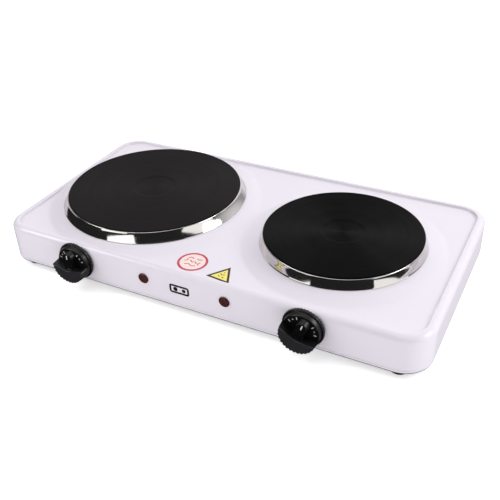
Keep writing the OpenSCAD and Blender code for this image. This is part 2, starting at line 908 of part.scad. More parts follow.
knob(right_knob_x, right_turn);  // right_knob
bracket_screws();
lens(left_lamp_x);  // left_lens
panel_neon(left_lamp_x, left_knob_x + tab_x, 1, large_out);  // left_neon
lens(right_lamp_x);  // right_lens
panel_neon(right_lamp_x, right_knob_x - tab_x, -1, small_out);  // right_neon
round_label();
triangle_label();
live_wire(left_knob_x - tab_x, [[-118, -34, 15], [-60, 18, 12.5], [-24, 42, 12.5]],  // wire_live_left
        -pole_x - pair_x, -1);
live_wire(right_knob_x + tab_x, [[100, -34, 15], [44, 8, 12], [5, 38, 12.2]],  // wire_live_right
        -pole_x + pair_x, 1);
load_wire(left_knob_x + tab_x, large_in);  // wire_load_left
load_wire(right_knob_x - tab_x, small_in);  // wire_load_right
neutral_wire(large_out, [[-98, 64, 21], [-52, 50, 22], [-14, 46, 22.5]], -pair_x, -1);  // wire_neutral_left
neutral_wire(small_out, [[96, 48, 21], [52, 44, 20], [14, 44, 21.5]], pair_x, 1);  // wire_neutral_right
wire_earth();
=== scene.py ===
"""Looks of the double hot plate: shells, castings, knobs, prints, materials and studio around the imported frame."""
import json
import logging
import math
from dataclasses import dataclass, field
from enum import Enum
from functools import lru_cache
from typing import Callable, Iterable, Sequence

import bmesh
import bpy
import numpy as np
from mathutils import Matrix, Vector
from mathutils.geometry import delaunay_2d_cdt


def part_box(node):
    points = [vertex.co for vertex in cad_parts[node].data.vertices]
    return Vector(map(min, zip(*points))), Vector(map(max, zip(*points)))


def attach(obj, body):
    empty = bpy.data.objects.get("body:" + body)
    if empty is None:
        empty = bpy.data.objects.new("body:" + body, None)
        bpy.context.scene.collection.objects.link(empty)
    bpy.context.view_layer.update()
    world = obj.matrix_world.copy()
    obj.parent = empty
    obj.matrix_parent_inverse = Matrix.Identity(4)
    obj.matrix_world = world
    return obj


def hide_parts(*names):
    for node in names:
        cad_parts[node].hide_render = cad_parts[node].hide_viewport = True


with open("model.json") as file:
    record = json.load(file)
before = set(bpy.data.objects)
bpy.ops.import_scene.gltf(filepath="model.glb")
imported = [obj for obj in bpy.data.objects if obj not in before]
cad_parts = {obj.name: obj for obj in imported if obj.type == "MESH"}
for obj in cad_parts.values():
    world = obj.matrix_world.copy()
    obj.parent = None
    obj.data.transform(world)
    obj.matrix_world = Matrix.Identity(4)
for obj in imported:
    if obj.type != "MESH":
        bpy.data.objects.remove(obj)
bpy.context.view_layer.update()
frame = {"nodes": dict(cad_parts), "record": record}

log = logging.getLogger("hot_plate")

MM = 0.001
ROUGHNESS_FLOOR = 0.02
FOUR_CORNERS = ((-1, -1), (-1, 1), (1, -1), (1, 1))
SIDES = ("left", "right")
PLATE_RADII = {"large": 92.5, "small": 77.5}
Point2 = tuple[float, float]
Socket = bpy.types.NodeSocket
Tree = bpy.types.NodeTree


class Body(Enum):
    """The moving bodies of the frame."""

    BASE = "base"
    LEFT = "left_control"
    RIGHT = "right_control"


# ---- Colour and node helpers ----


def linear(hex_code: str, gain: float = 1.0) -> tuple[float, float, float, float]:
    """Turns an sRGB hex value into a linear colour.

    Args:
        hex_code: six hex digits, with or without a leading hash.
        gain: how much lighter or darker the linear colour gets.

    Returns:
        Red, green, blue and alpha, linear.
    """
    digits = hex_code.lstrip("#")
    values = []
    for start in (0, 2, 4):
        level = int(digits[start : start + 2], 16) / 255
        level = level / 12.92 if level <= 0.04045 else ((level + 0.055) / 1.055) ** 2.4
        values.append(min(1.0, level * gain))
    return (values[0], values[1], values[2], 1.0)


def add(tree: Tree, kind: str, inputs: dict | None = None, **settings: object) -> bpy.types.Node:
    """Adds a node, sets its properties, then fills or links its inputs.

    Args:
        tree: the tree that gets the node.
        kind: the node's type name.
        inputs: socket name or number to a value, or to another node's output to link.
        settings: properties of the node.

    Returns:
        The new node.
    """
    node = tree.nodes.new(kind)
    for name, value in settings.items():
        setattr(node, name, value)
    for key, value in (inputs or {}).items():
        if isinstance(value, Socket):
            tree.links.new(value, node.inputs[key])
        else:
            node.inputs[key].default_value = value
    return node


# ---- Finishes ----


@dataclass(frozen=True)
class Finish:
    """A surface finish: the shader's constants, and the grain that breaks them up.

    Grain and drift sizes are millimetres on the real surface.
    """

    name: str
    colour: str
    roughness: float
    metallic: float = 0.0
    ior: float = 1.5
    coat: float = 0.0
    coat_roughness: float = 0.08
    grain_mm: float = 1.0
    relief_mm: float = 0.004
    drift_mm: float = 25.0
    tone: float = 0.06
    spread: float = 0.05
    gloss: float = 0.5
    brushed: float = 0.0

    def place(self, tree: Tree) -> Socket:
        """Gives the point on the surface that the grain reads, in metres."""
        return add(tree, "ShaderNodeTexCoord").outputs["Object"]

    def grain(self, tree: Tree, place: Socket) -> Socket:
        """Gives the fine relief, 0 to 1: an even, cloudy grain."""
        node = add(tree, "ShaderNodeTexNoise", {"Vector": place, "Scale": 1 / (self.grain_mm * MM), "Detail": 2.0})
        return node.outputs["Fac"]

    def drift(self, tree: Tree, place: Socket) -> Socket:
        """Gives the slow change of tone across the surface, 0 to 1."""
        node = add(tree, "ShaderNodeTexNoise", {"Vector": place, "Scale": 1 / (self.drift_mm * MM), "Detail": 4.0})
        return node.outputs["Fac"]

    def tint(self, tree: Tree, place: Socket, drift: Socket) -> Socket:
        """Gives the colour: the finish's own, a little darker and lighter with the drift."""
        darker, lighter = linear(self.colour, 1 - self.tone), linear(self.colour, 1 + self.tone)
        return add(tree, "ShaderNodeMix", {0: drift, 6: darker, 7: lighter}, data_type="RGBA").outputs[2]

    def material(self) -> bpy.types.Material:
        """Builds the material, or gives the one already built."""
        return built_material(self)


@lru_cache(maxsize=None)
def built_material(finish: Finish) -> bpy.types.Material:
    """Builds a finish's material once.

    Args:
        finish: the finish to build.

    Returns:
        The material, named for the finish.
    """
    material = bpy.data.materials.new(finish.name)
    material.use_nodes = True
    tree = material.node_tree
    tree.nodes.clear()
    place = finish.place(tree)
    grain = finish.grain(tree, place)
    drift = finish.drift(tree, place)
    low, high = max(ROUGHNESS_FLOOR, finish.roughness - finish.spread), finish.roughness + finish.spread
    rough = add(tree, "ShaderNodeMapRange",
                {"Value": drift, "From Min": 0.3, "From Max": 0.7, "To Min": low, "To Max": high})
    bump = add(tree, "ShaderNodeBump", {"Height": grain, "Distance": finish.relief_mm * MM, "Strength": 1.0})
    shader = add(tree, "ShaderNodeBsdfPrincipled", {
        "Base Color": finish.tint(tree, place, drift),
        "Roughness": rough.outputs["Result"],
        "Normal": bump.outputs["Normal"],
        "Metallic": finish.metallic,
        "Coat Weight": finish.coat,
        "Coat Roughness": finish.coat_roughness,
        "Specular IOR Level": finish.gloss,
        "Anisotropic": finish.brushed,
    })
    if finish.brushed:
        tree.links.new(finish.lay(tree, place), shader.inputs["Tangent"])
    if not finish.metallic:
        shader.inputs["IOR"].default_value = finish.ior
    add(tree, "ShaderNodeOutputMaterial", {"Surface": shader.outputs["BSDF"]})
    return material


@dataclass(frozen=True)
class Turned(Finish):
    """A face turned on a lathe: rings about an upright axis, crossed by the metal's own grain."""

    centre: Point2 = (0.0, 0.0)
    pitch_mm: float = 1.2
    ring_share: float = 0.6

    def place(self, tree: Tree) -> Socket:
        """Gives the point measured from the axis of turning."""
        shift = {"Vector": super().place(tree), "Location": (-self.centre[0], -self.centre[1], 0.0)}
        return add(tree, "ShaderNodeMapping", shift).outputs["Vector"]

    def flat(self, tree: Tree, place: Socket) -> Socket:
        """Gives the point with its height dropped."""
        return add(tree, "ShaderNodeVectorMath", {0: place, 1: (1.0, 1.0, 0.0)}, operation="MULTIPLY").outputs[0]

    def radius(self, tree: Tree, place: Socket) -> Socket:
        """Gives the distance from the axis."""
        return add(tree, "ShaderNodeVectorMath", {0: self.flat(tree, place)}, operation="LENGTH").outputs["Value"]

    def lay(self, tree: Tree, place: Socket) -> Socket:
        """Gives the way across the tool's rings, along which a highlight is drawn out."""
        return add(tree, "ShaderNodeVectorMath", {0: self.flat(tree, place)}, operation="NORMALIZE").outputs[0]

    def grain(self, tree: Tree, place: Socket) -> Socket:
        """Gives the tool's rings mixed with the cast grain.

        Args:
            tree: the tree that gets the nodes.
            place: the point on the surface, in metres.

        Returns:
            The relief, 0 to 1.
        """
        radius = self.radius(tree, place)
        turns = add(tree, "ShaderNodeMath", {0: radius, 1: 2 * math.pi / (self.pitch_mm * MM)}, operation="MULTIPLY")
        wave = add(tree, "ShaderNodeMath", {0: turns.outputs[0]}, operation="SINE")
        ring = add(tree, "ShaderNodeMath", {0: wave.outputs[0], 1: 0.5, 2: 0.5}, operation="MULTIPLY_ADD")
        cloud = add(tree, "ShaderNodeTexNoise", {"Vector": place, "Scale": 1 / (self.grain_mm * MM), "Detail": 3.0})
        shares = {0: self.ring_share, 2: cloud.outputs["Fac"], 3: ring.outputs[0]}
        return add(tree, "ShaderNodeMix", shares, data_type="FLOAT").outputs[0]

    def drift(self, tree: Tree, place: Socket) -> Socket:
        """Gives bands of tone that follow the rings, as a tool's passes leave.

        Args:
            tree: the tree that gets the nodes.
            place: the point on the surface, in metres.

        Returns:
            The bands of tone, 0 to 1.
        """
        radius = self.radius(tree, place)
        bands = add(tree, "ShaderNodeTexNoise", {"W": radius, "Scale": 1 / (self.drift_mm * MM)}, noise_dimensions="1D")
        cloud = add(tree, "ShaderNodeTexNoise", {"Vector": place, "Scale": 1 / (self.drift_mm * 4 * MM)})
        shares = {0: 0.45, 2: bands.outputs["Fac"], 3: cloud.outputs["Fac"]}
        return add(tree, "ShaderNodeMix", shares, data_type="FLOAT").outputs[0]


@dataclass(frozen=True)
class Spun(Turned):
    """Sheet spun and polished on a lathe: only faint streaks round the axis, so it mirrors the room."""

    def grain(self, tree: Tree, place: Socket) -> Socket:
        """Gives streaks that run round the ring, fine across its wall.

        Args:
            tree: the tree that gets the nodes.
            place: the point on the surface, in metres.

        Returns:
            The relief, 0 to 1.
        """
        radius = self.radius(tree, place)
        split = add(tree, "ShaderNodeSeparateXYZ", {"Vector": place})
        along = add(tree, "ShaderNodeCombineXYZ", {"X": radius, "Y": split.outputs["Z"], "Z": 0.0})
        streak = add(tree, "ShaderNodeTexNoise", {"Vector": along.outputs[0], "Scale": 1 / (self.grain_mm * MM)})
        return streak.outputs["Fac"]


@dataclass(frozen=True)
class LitFaceMoulding(Finish):
    """Moulded phenolic, matt, with painted light: the front face, which the front lights fall on, is painted a lighter
    grey.
    """

    # painted light: the lighter grey painted on the front face, which the front lights fall on
    face: str = "#262427"
    face_y: float = -0.1266

    def tint(self, tree: Tree, place: Socket, drift: Socket) -> Socket:
        """Gives the moulding's colour, with painted light: a lighter grey in front of the face's depth, where the front
        lights fall.

        Args:
            tree: the tree that gets the nodes.
            place: the point on the surface, in metres.
            drift: the slow change of tone, 0 to 1.

        Returns:
            The colour.
        """
        depth = add(tree, "ShaderNodeSeparateXYZ", {"Vector": place}).outputs["Y"]
        # painted light: in front of the face's depth the colour turns to the lit grey
        front = add(tree, "ShaderNodeMath", {0: depth, 1: self.face_y}, operation="LESS_THAN").outputs[0]
        colours = {0: front, 6: super().tint(tree, place, drift), 7: linear(self.face)}
        return add(tree, "ShaderNodeMix", colours, data_type="RGBA").outputs[2]


@dataclass(frozen=True)
class Sleeve(Finish):
    """Extruded wire sleeve, with a second colour in stripes on the earth wire."""

    stripe: str = ""

    def tint(self, tree: Tree, place: Socket, drift: Socket) -> Socket:
        """Gives the sleeve's colour, striped when there is a second one.

        Args:
            tree: the tree that gets the nodes.
            place: the point on the surface, in metres.
            drift: the slow change of tone, 0 to 1.

        Returns:
            The colour.
        """
        if not self.stripe:
            return super().tint(tree, place, drift)
        bands = add(tree, "ShaderNodeTexWave", {"Vector": place, "Scale": 55.0, "Distortion": 0.4},
                    wave_type="BANDS", bands_direction="DIAGONAL")
        hard = add(tree, "ShaderNodeMath", {0: bands.outputs["Fac"], 1: 0.6}, operation="GREATER_THAN").outputs[0]
        colours = {0: hard, 6: linear(self.colour), 7: linear(self.stripe)}
        return add(tree, "ShaderNodeMix", colours, data_type="RGBA").outputs[2]


# Baked white enamel on pressed steel: glossy, faintly lilac, with a shallow orange peel
ENAMEL = Finish("baked_enamel", "#E3DDE6", 0.3, coat=0.35, coat_roughness=0.12, grain_mm=2.2, relief_mm=0.012,
                drift_mm=90.0, tone=0.006, spread=0.012)
# Moulded rubber feet: matt, dusty black
RUBBER = Finish("moulded_rubber", "#1B1A1C", 0.78, grain_mm=0.5, relief_mm=0.03, tone=0.15, spread=0.08)
# Phenolic knob moulding: deep black with a soft gloss and a spark-eroded skin; its front face is painted a lighter grey
# as painted light
KNOB_BLACK = LitFaceMoulding("phenolic_black", "#0B0A0C", 0.34, gloss=0.35, grain_mm=0.35, relief_mm=0.008,
                      drift_mm=8.0, tone=0.25, spread=0.06)
# Nylon gland: black, a little waxy
NYLON = Finish("gland_nylon", "#151517", 0.45, grain_mm=0.6, relief_mm=0.01, tone=0.1)
# Lamp lens: dark red tinted polycarbonate over a dark lamp chamber
LENS_RED = Finish("tinted_lens", "#46201F", 0.22, ior=1.58, coat=0.3, grain_mm=1.6, relief_mm=0.02, drift_mm=4.0,
                  tone=0.2)
# White pad-printing ink on the knobs
DIAL_INK = Finish("dial_ink", "#D9D8D6", 0.5, grain_mm=0.3, tone=0.05)
# Black screen-printing ink on the front
PANEL_INK = Finish("panel_ink", "#0B0A0D", 0.4, grain_mm=0.4, tone=0.12)
# Sticker papers and inks, satin vinyl
CREAM_VINYL = Finish("cream_vinyl", "#F3DCD6", 0.4, grain_mm=0.9, drift_mm=7.0)
CRIMSON_INK = Finish("crimson_ink", "#BE3A50", 0.42, grain_mm=0.5, relief_mm=0.003, drift_mm=5.0, tone=0.12)
YELLOW_VINYL = Finish("yellow_vinyl", "#F0E070", 0.4, grain_mm=0.9, drift_mm=6.0, tone=0.05)

# Finishes of the pieces that keep their CAD shape, by the record's material slot
SLOT_FINISHES: dict[str, Finish] = {
    # Satin steel with a grey wash coat
    "base_steel": Finish("washed_base_steel", "#8E8D92", 0.5, metallic=0.7, grain_mm=0.8, relief_mm=0.008, tone=0.07),
    # Zinc plate, dull and slightly mottled
    "zinc_fasteners": Finish("zinc_plate", "#A9ABAE", 0.42, metallic=1.0, grain_mm=0.6, relief_mm=0.006,
                             drift_mm=9.0, tone=0.1),
    # Pressed steel brackets and bars, brighter than zinc
    "plated_steel": Finish("plated_steel", "#B9BBBE", 0.34, metallic=1.0, grain_mm=0.5, relief_mm=0.005, tone=0.08),
    "brass": Finish("turned_brass", "#B8924B", 0.3, metallic=1.0, grain_mm=0.4, tone=0.1),
    "heating_wire": Finish("heating_wire", "#6E6660", 0.4, metallic=1.0, grain_mm=0.5, relief_mm=0.02, tone=0.15),
    "spindle_steel": Finish("drawn_spindle", "#A6A8AB", 0.25, metallic=1.0, grain_mm=0.3),
    "block_plastic": Finish("block_plastic", "#DAD6CB", 0.45, grain_mm=0.8, relief_mm=0.01),
    "magnesia": Finish("pressed_magnesia", "#D8D2C6", 0.85, grain_mm=1.2, relief_mm=0.08, tone=0.1),
    "steatite": Finish("fired_steatite", "#DCD3C0", 0.55, grain_mm=0.7, relief_mm=0.02, tone=0.08),
    "neon_glass": Finish("neon_glass", "#A8552E", 0.12, ior=1.47, coat=0.2, grain_mm=2.0, tone=0.1),
    "round_label": CREAM_VINYL,
    "triangle_label": YELLOW_VINYL,
    **{f"wire_{colour}": Sleeve(f"sleeve_{name}", tone, 0.5, grain_mm=0.4, relief_mm=0.01, stripe=stripe)
       for colour, name, tone, stripe in (
           ("brown", "brown", "#5A3420", ""), ("black", "black", "#1E1E20", ""), ("blue", "blue", "#274B8E", ""),
           ("green", "green_yellow", "#3F8A34", "#E2D23A"))},
}


# ---- Mesh helpers; every length here is millimetres until a piece is made ----


@dataclass
class Mesh:
    """A mesh in the making: points in millimetres and faces over them."""

    points: list[tuple[float, float, float]] = field(default_factory=list)
    faces: list[Sequence[int]] = field(default_factory=list)

    def extend(self, points: Iterable[Sequence[float]], faces: Iterable[Sequence[int]]) -> None:
        """Adds more points, and faces that count from the first of them.

        Args:
            points: the points to add, in millimetres.
            faces: the faces, counted from the first added point.
        """
        first = len(self.points)
        self.points.extend(tuple(p) for p in points)
        self.faces.extend([first + i for i in f] for f in faces)

    def join(self, other: "Mesh") -> None:
        """Adds another mesh to this one."""
        self.extend(other.points, other.faces)

    def turned(self, matrix: Matrix) -> "Mesh":
        """Gives a copy moved by a matrix in millimetres."""
        return Mesh([tuple(matrix @ Vector(p)) for p in self.points], list(self.faces))


def loops_faces(loops: int, count: int, closed: bool = True) -> list[tuple[int, int, int, int]]:
    """Joins successive loops of points into quads.

    Args:
        loops: how many loops there are.
        count: points on each loop.
        closed: whether each loop closes on itself.

    Returns:
        The quads, facing outward where a loop runs anticlockwise and the loops rise.
    """
    around = count if closed else count - 1
    return [
        (j * count + i, j * count + (i + 1) % count, (j + 1) * count + (i + 1) % count, (j + 1) * count + i)
        for j in range(loops - 1)
        for i in range(around)
    ]


def lathe(profile: Sequence[Point2], segments: int) -> Mesh:
    """Turns a profile about the Z axis into a closed solid.

    Args:
        profile: radius and height from one end of the axis, round the outside, to the other; a profile that
            doesn't touch the axis is taken as closed.
        segments: faces round the axis.

    Returns:
        The turned mesh.
    """
    mesh = Mesh()
    on_axis = profile[0][0] == 0
    rings = [p for p in profile if p[0] > 0]
    for r, z in rings:
        for i in range(segments):
            a = 2 * math.pi * i / segments
            mesh.points.append((r * math.cos(a), r * math.sin(a), z))
    mesh.faces.extend(loops_faces(len(rings), segments))
    last = (len(rings) - 1) * segments
    if on_axis:
        mesh.points.extend([(0, 0, profile[0][1]), (0, 0, profile[-1][1])])
        low, high = len(mesh.points) - 2, len(mesh.points) - 1
        for i in range(segments):
            j = (i + 1) % segments
            mesh.faces.append((low, j, i))
            mesh.faces.append((high, last + i, last + j))
    else:
        for i in range(segments):
            j = (i + 1) % segments
            mesh.faces.append((last + i, last + j, j, i))
    return mesh


def stack(outline: Sequence[Point2], levels: Sequence[tuple[float, float]], centre: Point2 = (0, 0),
          cap: Callable[[float, float], float] | None = None, cap_steps: int = 1) -> Mesh:
    """Stacks an outline at several heights, drawn in towards a centre at each, and caps both ends.

    Args:
        outline: the outline's points, anticlockwise.
        levels: how far the outline is drawn in, and the height, from the lowest up.
        centre: the point it is drawn in towards.
        cap: gives the change in height of a point of the top, or nothing for a flat top.
        cap_steps: loops between the top's edge and its centre.

    Returns:
        A closed mesh.
    """
    outer = [(x - centre[0], y - centre[1]) for x, y in outline]
    count = len(outer)
    mesh = Mesh()

    def loop(inset: float, z: float, share: float = 1.0) -> None:
        """Adds one loop of the outline.

        Args:
            inset: how far the outline is drawn in.
            z: the loop's height.
            share: how much of the way out from the centre it lies.
        """
        for x, y in outer:
            reach = math.hypot(x, y)
            s = share * (reach - inset) / reach
            px, py = centre[0] + x * s, centre[1] + y * s
            mesh.points.append((px, py, z + (cap(px, py) if cap and share < 1 or cap and inset >= top_inset else 0)))

    top_inset, top_z = levels[-1]
    for inset, z in levels:
        loop(inset, z)
    for k in range(1, cap_steps):
        loop(top_inset, top_z, 1 - k / cap_steps)
    rings = len(levels) + cap_steps - 1
    mesh.faces.extend(loops_faces(rings, count))
    mesh.points.extend(
        [(centre[0], centre[1], levels[0][1]), (centre[0], centre[1], top_z + (cap(*centre) if cap else 0))]
    )
    low, high = len(mesh.points) - 2, len(mesh.points) - 1
    last = (rings - 1) * count
    for i in range(count):
        j = (i + 1) % count
        mesh.faces.append((low, j, i))
        mesh.faces.append((high, last + i, last + j))
    return mesh


def slab(outline: Sequence[Point2], z0: float, z1: float) -> Mesh:
    """Raises a closed outline into a flat slab between two heights.

    Args:
        outline: the outline, anticlockwise.
        z0: the lower height.
        z1: the upper height.

    Returns:
        The slab.
    """
    count = len(outline)
    mesh = Mesh([(x, y, z0) for x, y in outline] + [(x, y, z1) for x, y in outline])
    mesh.faces = loops_faces(2, count)
    mesh.faces += [tuple(reversed(range(count))), tuple(range(count, 2 * count))]
    return mesh


def frame_slab(outer: Sequence[Point2], inner: Sequence[Point2], z0: float, z1: float) -> Mesh:
    """Raises the band between two outlines with the same number of points into a flat slab.

    Args:
        outer: the outer outline, anticlockwise.
        inner: the inner outline, anticlockwise.
        z0: the lower height.
        z1: the upper height.

    Returns:
        The band.
    """
    count = len(outer)
    mesh = Mesh([(x, y, z) for line, z in ((inner, z0), (outer, z0), (outer, z1), (inner, z1)) for x, y in line])
    mesh.faces = loops_faces(4, count)
    mesh.faces += [(3 * count + i, 3 * count + (i + 1) % count, (i + 1) % count, i) for i in range(count)]
    return mesh


def circle(r: float, count: int, centre: Point2 = (0, 0), start: float = 0, span: float = 360) -> list[Point2]:
    """Gives points round a circle or along an arc of it.

    Args:
        r: the radius.
        count: how many points.
        centre: the circle's centre.
        start: where the arc starts, in degrees.
        span: how far it runs, in degrees.

    Returns:
        The points, anticlockwise.
    """
    steps = count if span == 360 else count - 1
    return [
        (centre[0] + r * math.cos(math.radians(start + span * i / steps)),
         centre[1] + r * math.sin(math.radians(start + span * i / steps)))
        for i in range(count)
    ]


def stroke(points: Sequence[Point2], width: float) -> list[Point2]:
    """Gives the outline of a pen stroke of one width along a line of points.

    Args:
        points: the line that the pen follows.
        width: the pen's width.

    Returns:
        The outline, anticlockwise.
    """
    left, right = [], []
    for i, (x, y) in enumerate(points):
        ax, ay = points[max(0, i - 1)]
        bx, by = points[min(len(points) - 1, i + 1)]
        length = math.hypot(bx - ax, by - ay)
        nx, ny = -(by - ay) / length * width / 2, (bx - ax) / length * width / 2
        left.append((x + nx, y + ny))
        right.append((x - nx, y - ny))
    return right + left[::-1]


def facing_front(x: float, y: float, z: float) -> Matrix:
    """Gives the matrix from a frame with +Z outward to the front wall, with its origin at a point."""
    return Matrix(((1, 0, 0, x), (0, 0, -1, y), (0, 1, 0, z), (0, 0, 0, 1)))


def bm_object(name: str, mesh: Mesh, merge: float = 1e-6) -> bpy.types.Object:
    """Makes an object at the origin from a mesh in millimetres, with its normals facing outward.

    Args:
        name: the object's name.
        mesh: the mesh in millimetres.
        merge: points nearer than this many metres become one.

    Returns:
        The object.
    """
    data = bpy.data.meshes.new(name)
    data.from_pydata([(x * MM, y * MM, z * MM) for x, y, z in mesh.points], [], [tuple(f) for f in mesh.faces])
    work = bmesh.new()
    work.from_mesh(data)
    bmesh.ops.remove_doubles(work, verts=work.verts, dist=merge)
    bmesh.ops.recalc_face_normals(work, faces=work.faces)
    work.to_mesh(data)
    work.free()
    thing = bpy.data.objects.new(name, data)
    bpy.context.scene.collection.objects.link(thing)
    return thing


def settle(thing: bpy.types.Object) -> None:
    """Applies an object's modifiers for good, by way of its evaluated mesh.

    Args:
        thing: the object, whose mesh is replaced.
    """
    depsgraph = bpy.context.evaluated_depsgraph_get()
    made = bpy.data.meshes.new_from_object(thing.evaluated_get(depsgraph))
    thing.modifiers.clear()
    old = thing.data
    thing.data = made
    bpy.data.meshes.remove(old)


def combine(thing: bpy.types.Object, other: bpy.types.Object, operation: str) -> None:
    """Joins or cuts one solid with another and throws the other away.

    Args:
        thing: the solid that stays.
        other: the solid that is used up.
        operation: UNION or DIFFERENCE.
    """
    modifier = thing.modifiers.new("combine", "BOOLEAN")
    modifier.operation, modifier.object, modifier.solver = operation, other, "EXACT"
    settle(thing)
    bpy.data.objects.remove(other)


def finish_piece(thing: bpy.types.Object, finish: Finish, body: Body, nodes: Sequence[str] = (),
                 crease_deg: float = 32.0) -> None:
    """Shades, dresses and declares a finished piece.

    Args:
        thing: the piece, in place.
        finish: its finish.
        body: the body that it rides on.
        nodes: the CAD nodes that it stands for.
        crease_deg: edges sharper than this stay crisp.
    """
    mesh = thing.data
    mesh.materials.clear()
    mesh.materials.append(finish.material())
    mesh.polygons.foreach_set("material_index", [0] * len(mesh.polygons))
    mesh.polygons.foreach_set("use_smooth", [True] * len(mesh.polygons))
    mesh.set_sharp_from_angle(angle=math.radians(crease_deg))
    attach(thing, body.value)
    if nodes:
        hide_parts(*nodes)
    log.info("%s: %d faces, %s", thing.name, len(mesh.polygons), finish.name)


def node_box(node: str) -> tuple[Vector, Vector]:
    """Gives a CAD node's lowest and highest corners in millimetres."""
    low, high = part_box(node)
    return low / MM, high / MM


def node_centre(node: str) -> Vector:
    """Gives the middle of a CAD node's box in millimetres."""
    low, high = node_box(node)
    return (low + high) / 2


# ---- Geometry Nodes: one mark repeated round an axis ----


@dataclass
class RoundPattern:
    """Repeats a small template round an axis with Geometry Nodes and hands back a plain mesh."""

    count: int
    radius: float
    start_deg: float
    step_deg: float

    def tree(self) -> bpy.types.NodeTree:
        """Builds the tree: points round an arc, the template on each, realized and dressed.

        Returns:
            The tree.
        """
        tree = bpy.data.node_groups.new("round_pattern", "GeometryNodeTree")
        for name, way, kind in (
            ("Template", "INPUT", "Geometry"), ("Count", "INPUT", "Int"), ("Radius", "INPUT", "Float"),
            ("Start", "INPUT", "Float"), ("Step", "INPUT", "Float"), ("Finish", "INPUT", "Material"),
            ("Geometry", "OUTPUT", "Geometry"),
        ):
            tree.interface.new_socket(name, in_out=way, socket_type=f"NodeSocket{kind}")
        given = add(tree, "NodeGroupInput").outputs
        index = add(tree, "GeometryNodeInputIndex").outputs[0]
        steps = {0: index, 1: given["Step"], 2: given["Start"]}
        angle = add(tree, "ShaderNodeMath", steps, operation="MULTIPLY_ADD").outputs[0]
        x, y = (
            add(tree, "ShaderNodeMath", {
                0: add(tree, "ShaderNodeMath", {0: angle}, operation=wave).outputs[0], 1: given["Radius"],
            }, operation="MULTIPLY").outputs[0]
            for wave in ("COSINE", "SINE")
        )
        place = add(tree, "ShaderNodeCombineXYZ", {"X": x, "Y": y}).outputs[0]
        points = add(tree, "GeometryNodePoints", {"Count": given["Count"], "Position": place})
        turn = add(tree, "ShaderNodeCombineXYZ", {"Z": angle}).outputs[0]
        copies = add(tree, "GeometryNodeInstanceOnPoints",
                     {"Points": points.outputs[0], "Instance": given["Template"], "Rotation": turn})
        solid = add(tree, "GeometryNodeRealizeInstances", {"Geometry": copies.outputs[0]})
        dressed = add(tree, "GeometryNodeSetMaterial", {"Geometry": solid.outputs[0], "Material": given["Finish"]})
        add(tree, "NodeGroupOutput", {"Geometry": dressed.outputs[0]})
        return tree

    def spread(self, name: str, template: Mesh, finish: Finish) -> Mesh:
        """Repeats a template that lies along +X of its own origin.

        Args:
            name: a name for the working object.
            template: the shape to repeat, in millimetres.
            finish: the finish that the tree sets.

        Returns:
            All the copies as one mesh in millimetres.
        """
        thing = bm_object(name, template)
        modifier = thing.modifiers.new("pattern", "NODES")
        tree = self.tree()
        modifier.node_group = tree
        values = {
            "Count": self.count,
            "Radius": self.radius * MM,
            "Start": math.radians(self.start_deg),
            "Step": math.radians(self.step_deg),
            "Finish": finish.material(),
        }
        for item in tree.interface.items_tree:
            if item.in_out == "INPUT" and item.name in values:
                modifier[item.identifier] = values[item.name]
        settle(thing)
        made = Mesh(
            [tuple(v.co / MM) for v in thing.data.vertices], [tuple(p.vertices) for p in thing.data.polygons]
        )
        bpy.data.objects.remove(thing)
        return made


# ---- Housing ----


@dataclass
class HotSpot:
    """Where a plate stands: its centre and radius, and its ring's foot, which the raised seat follows."""

    x: float
    y: float
    radius: float
    foot: float


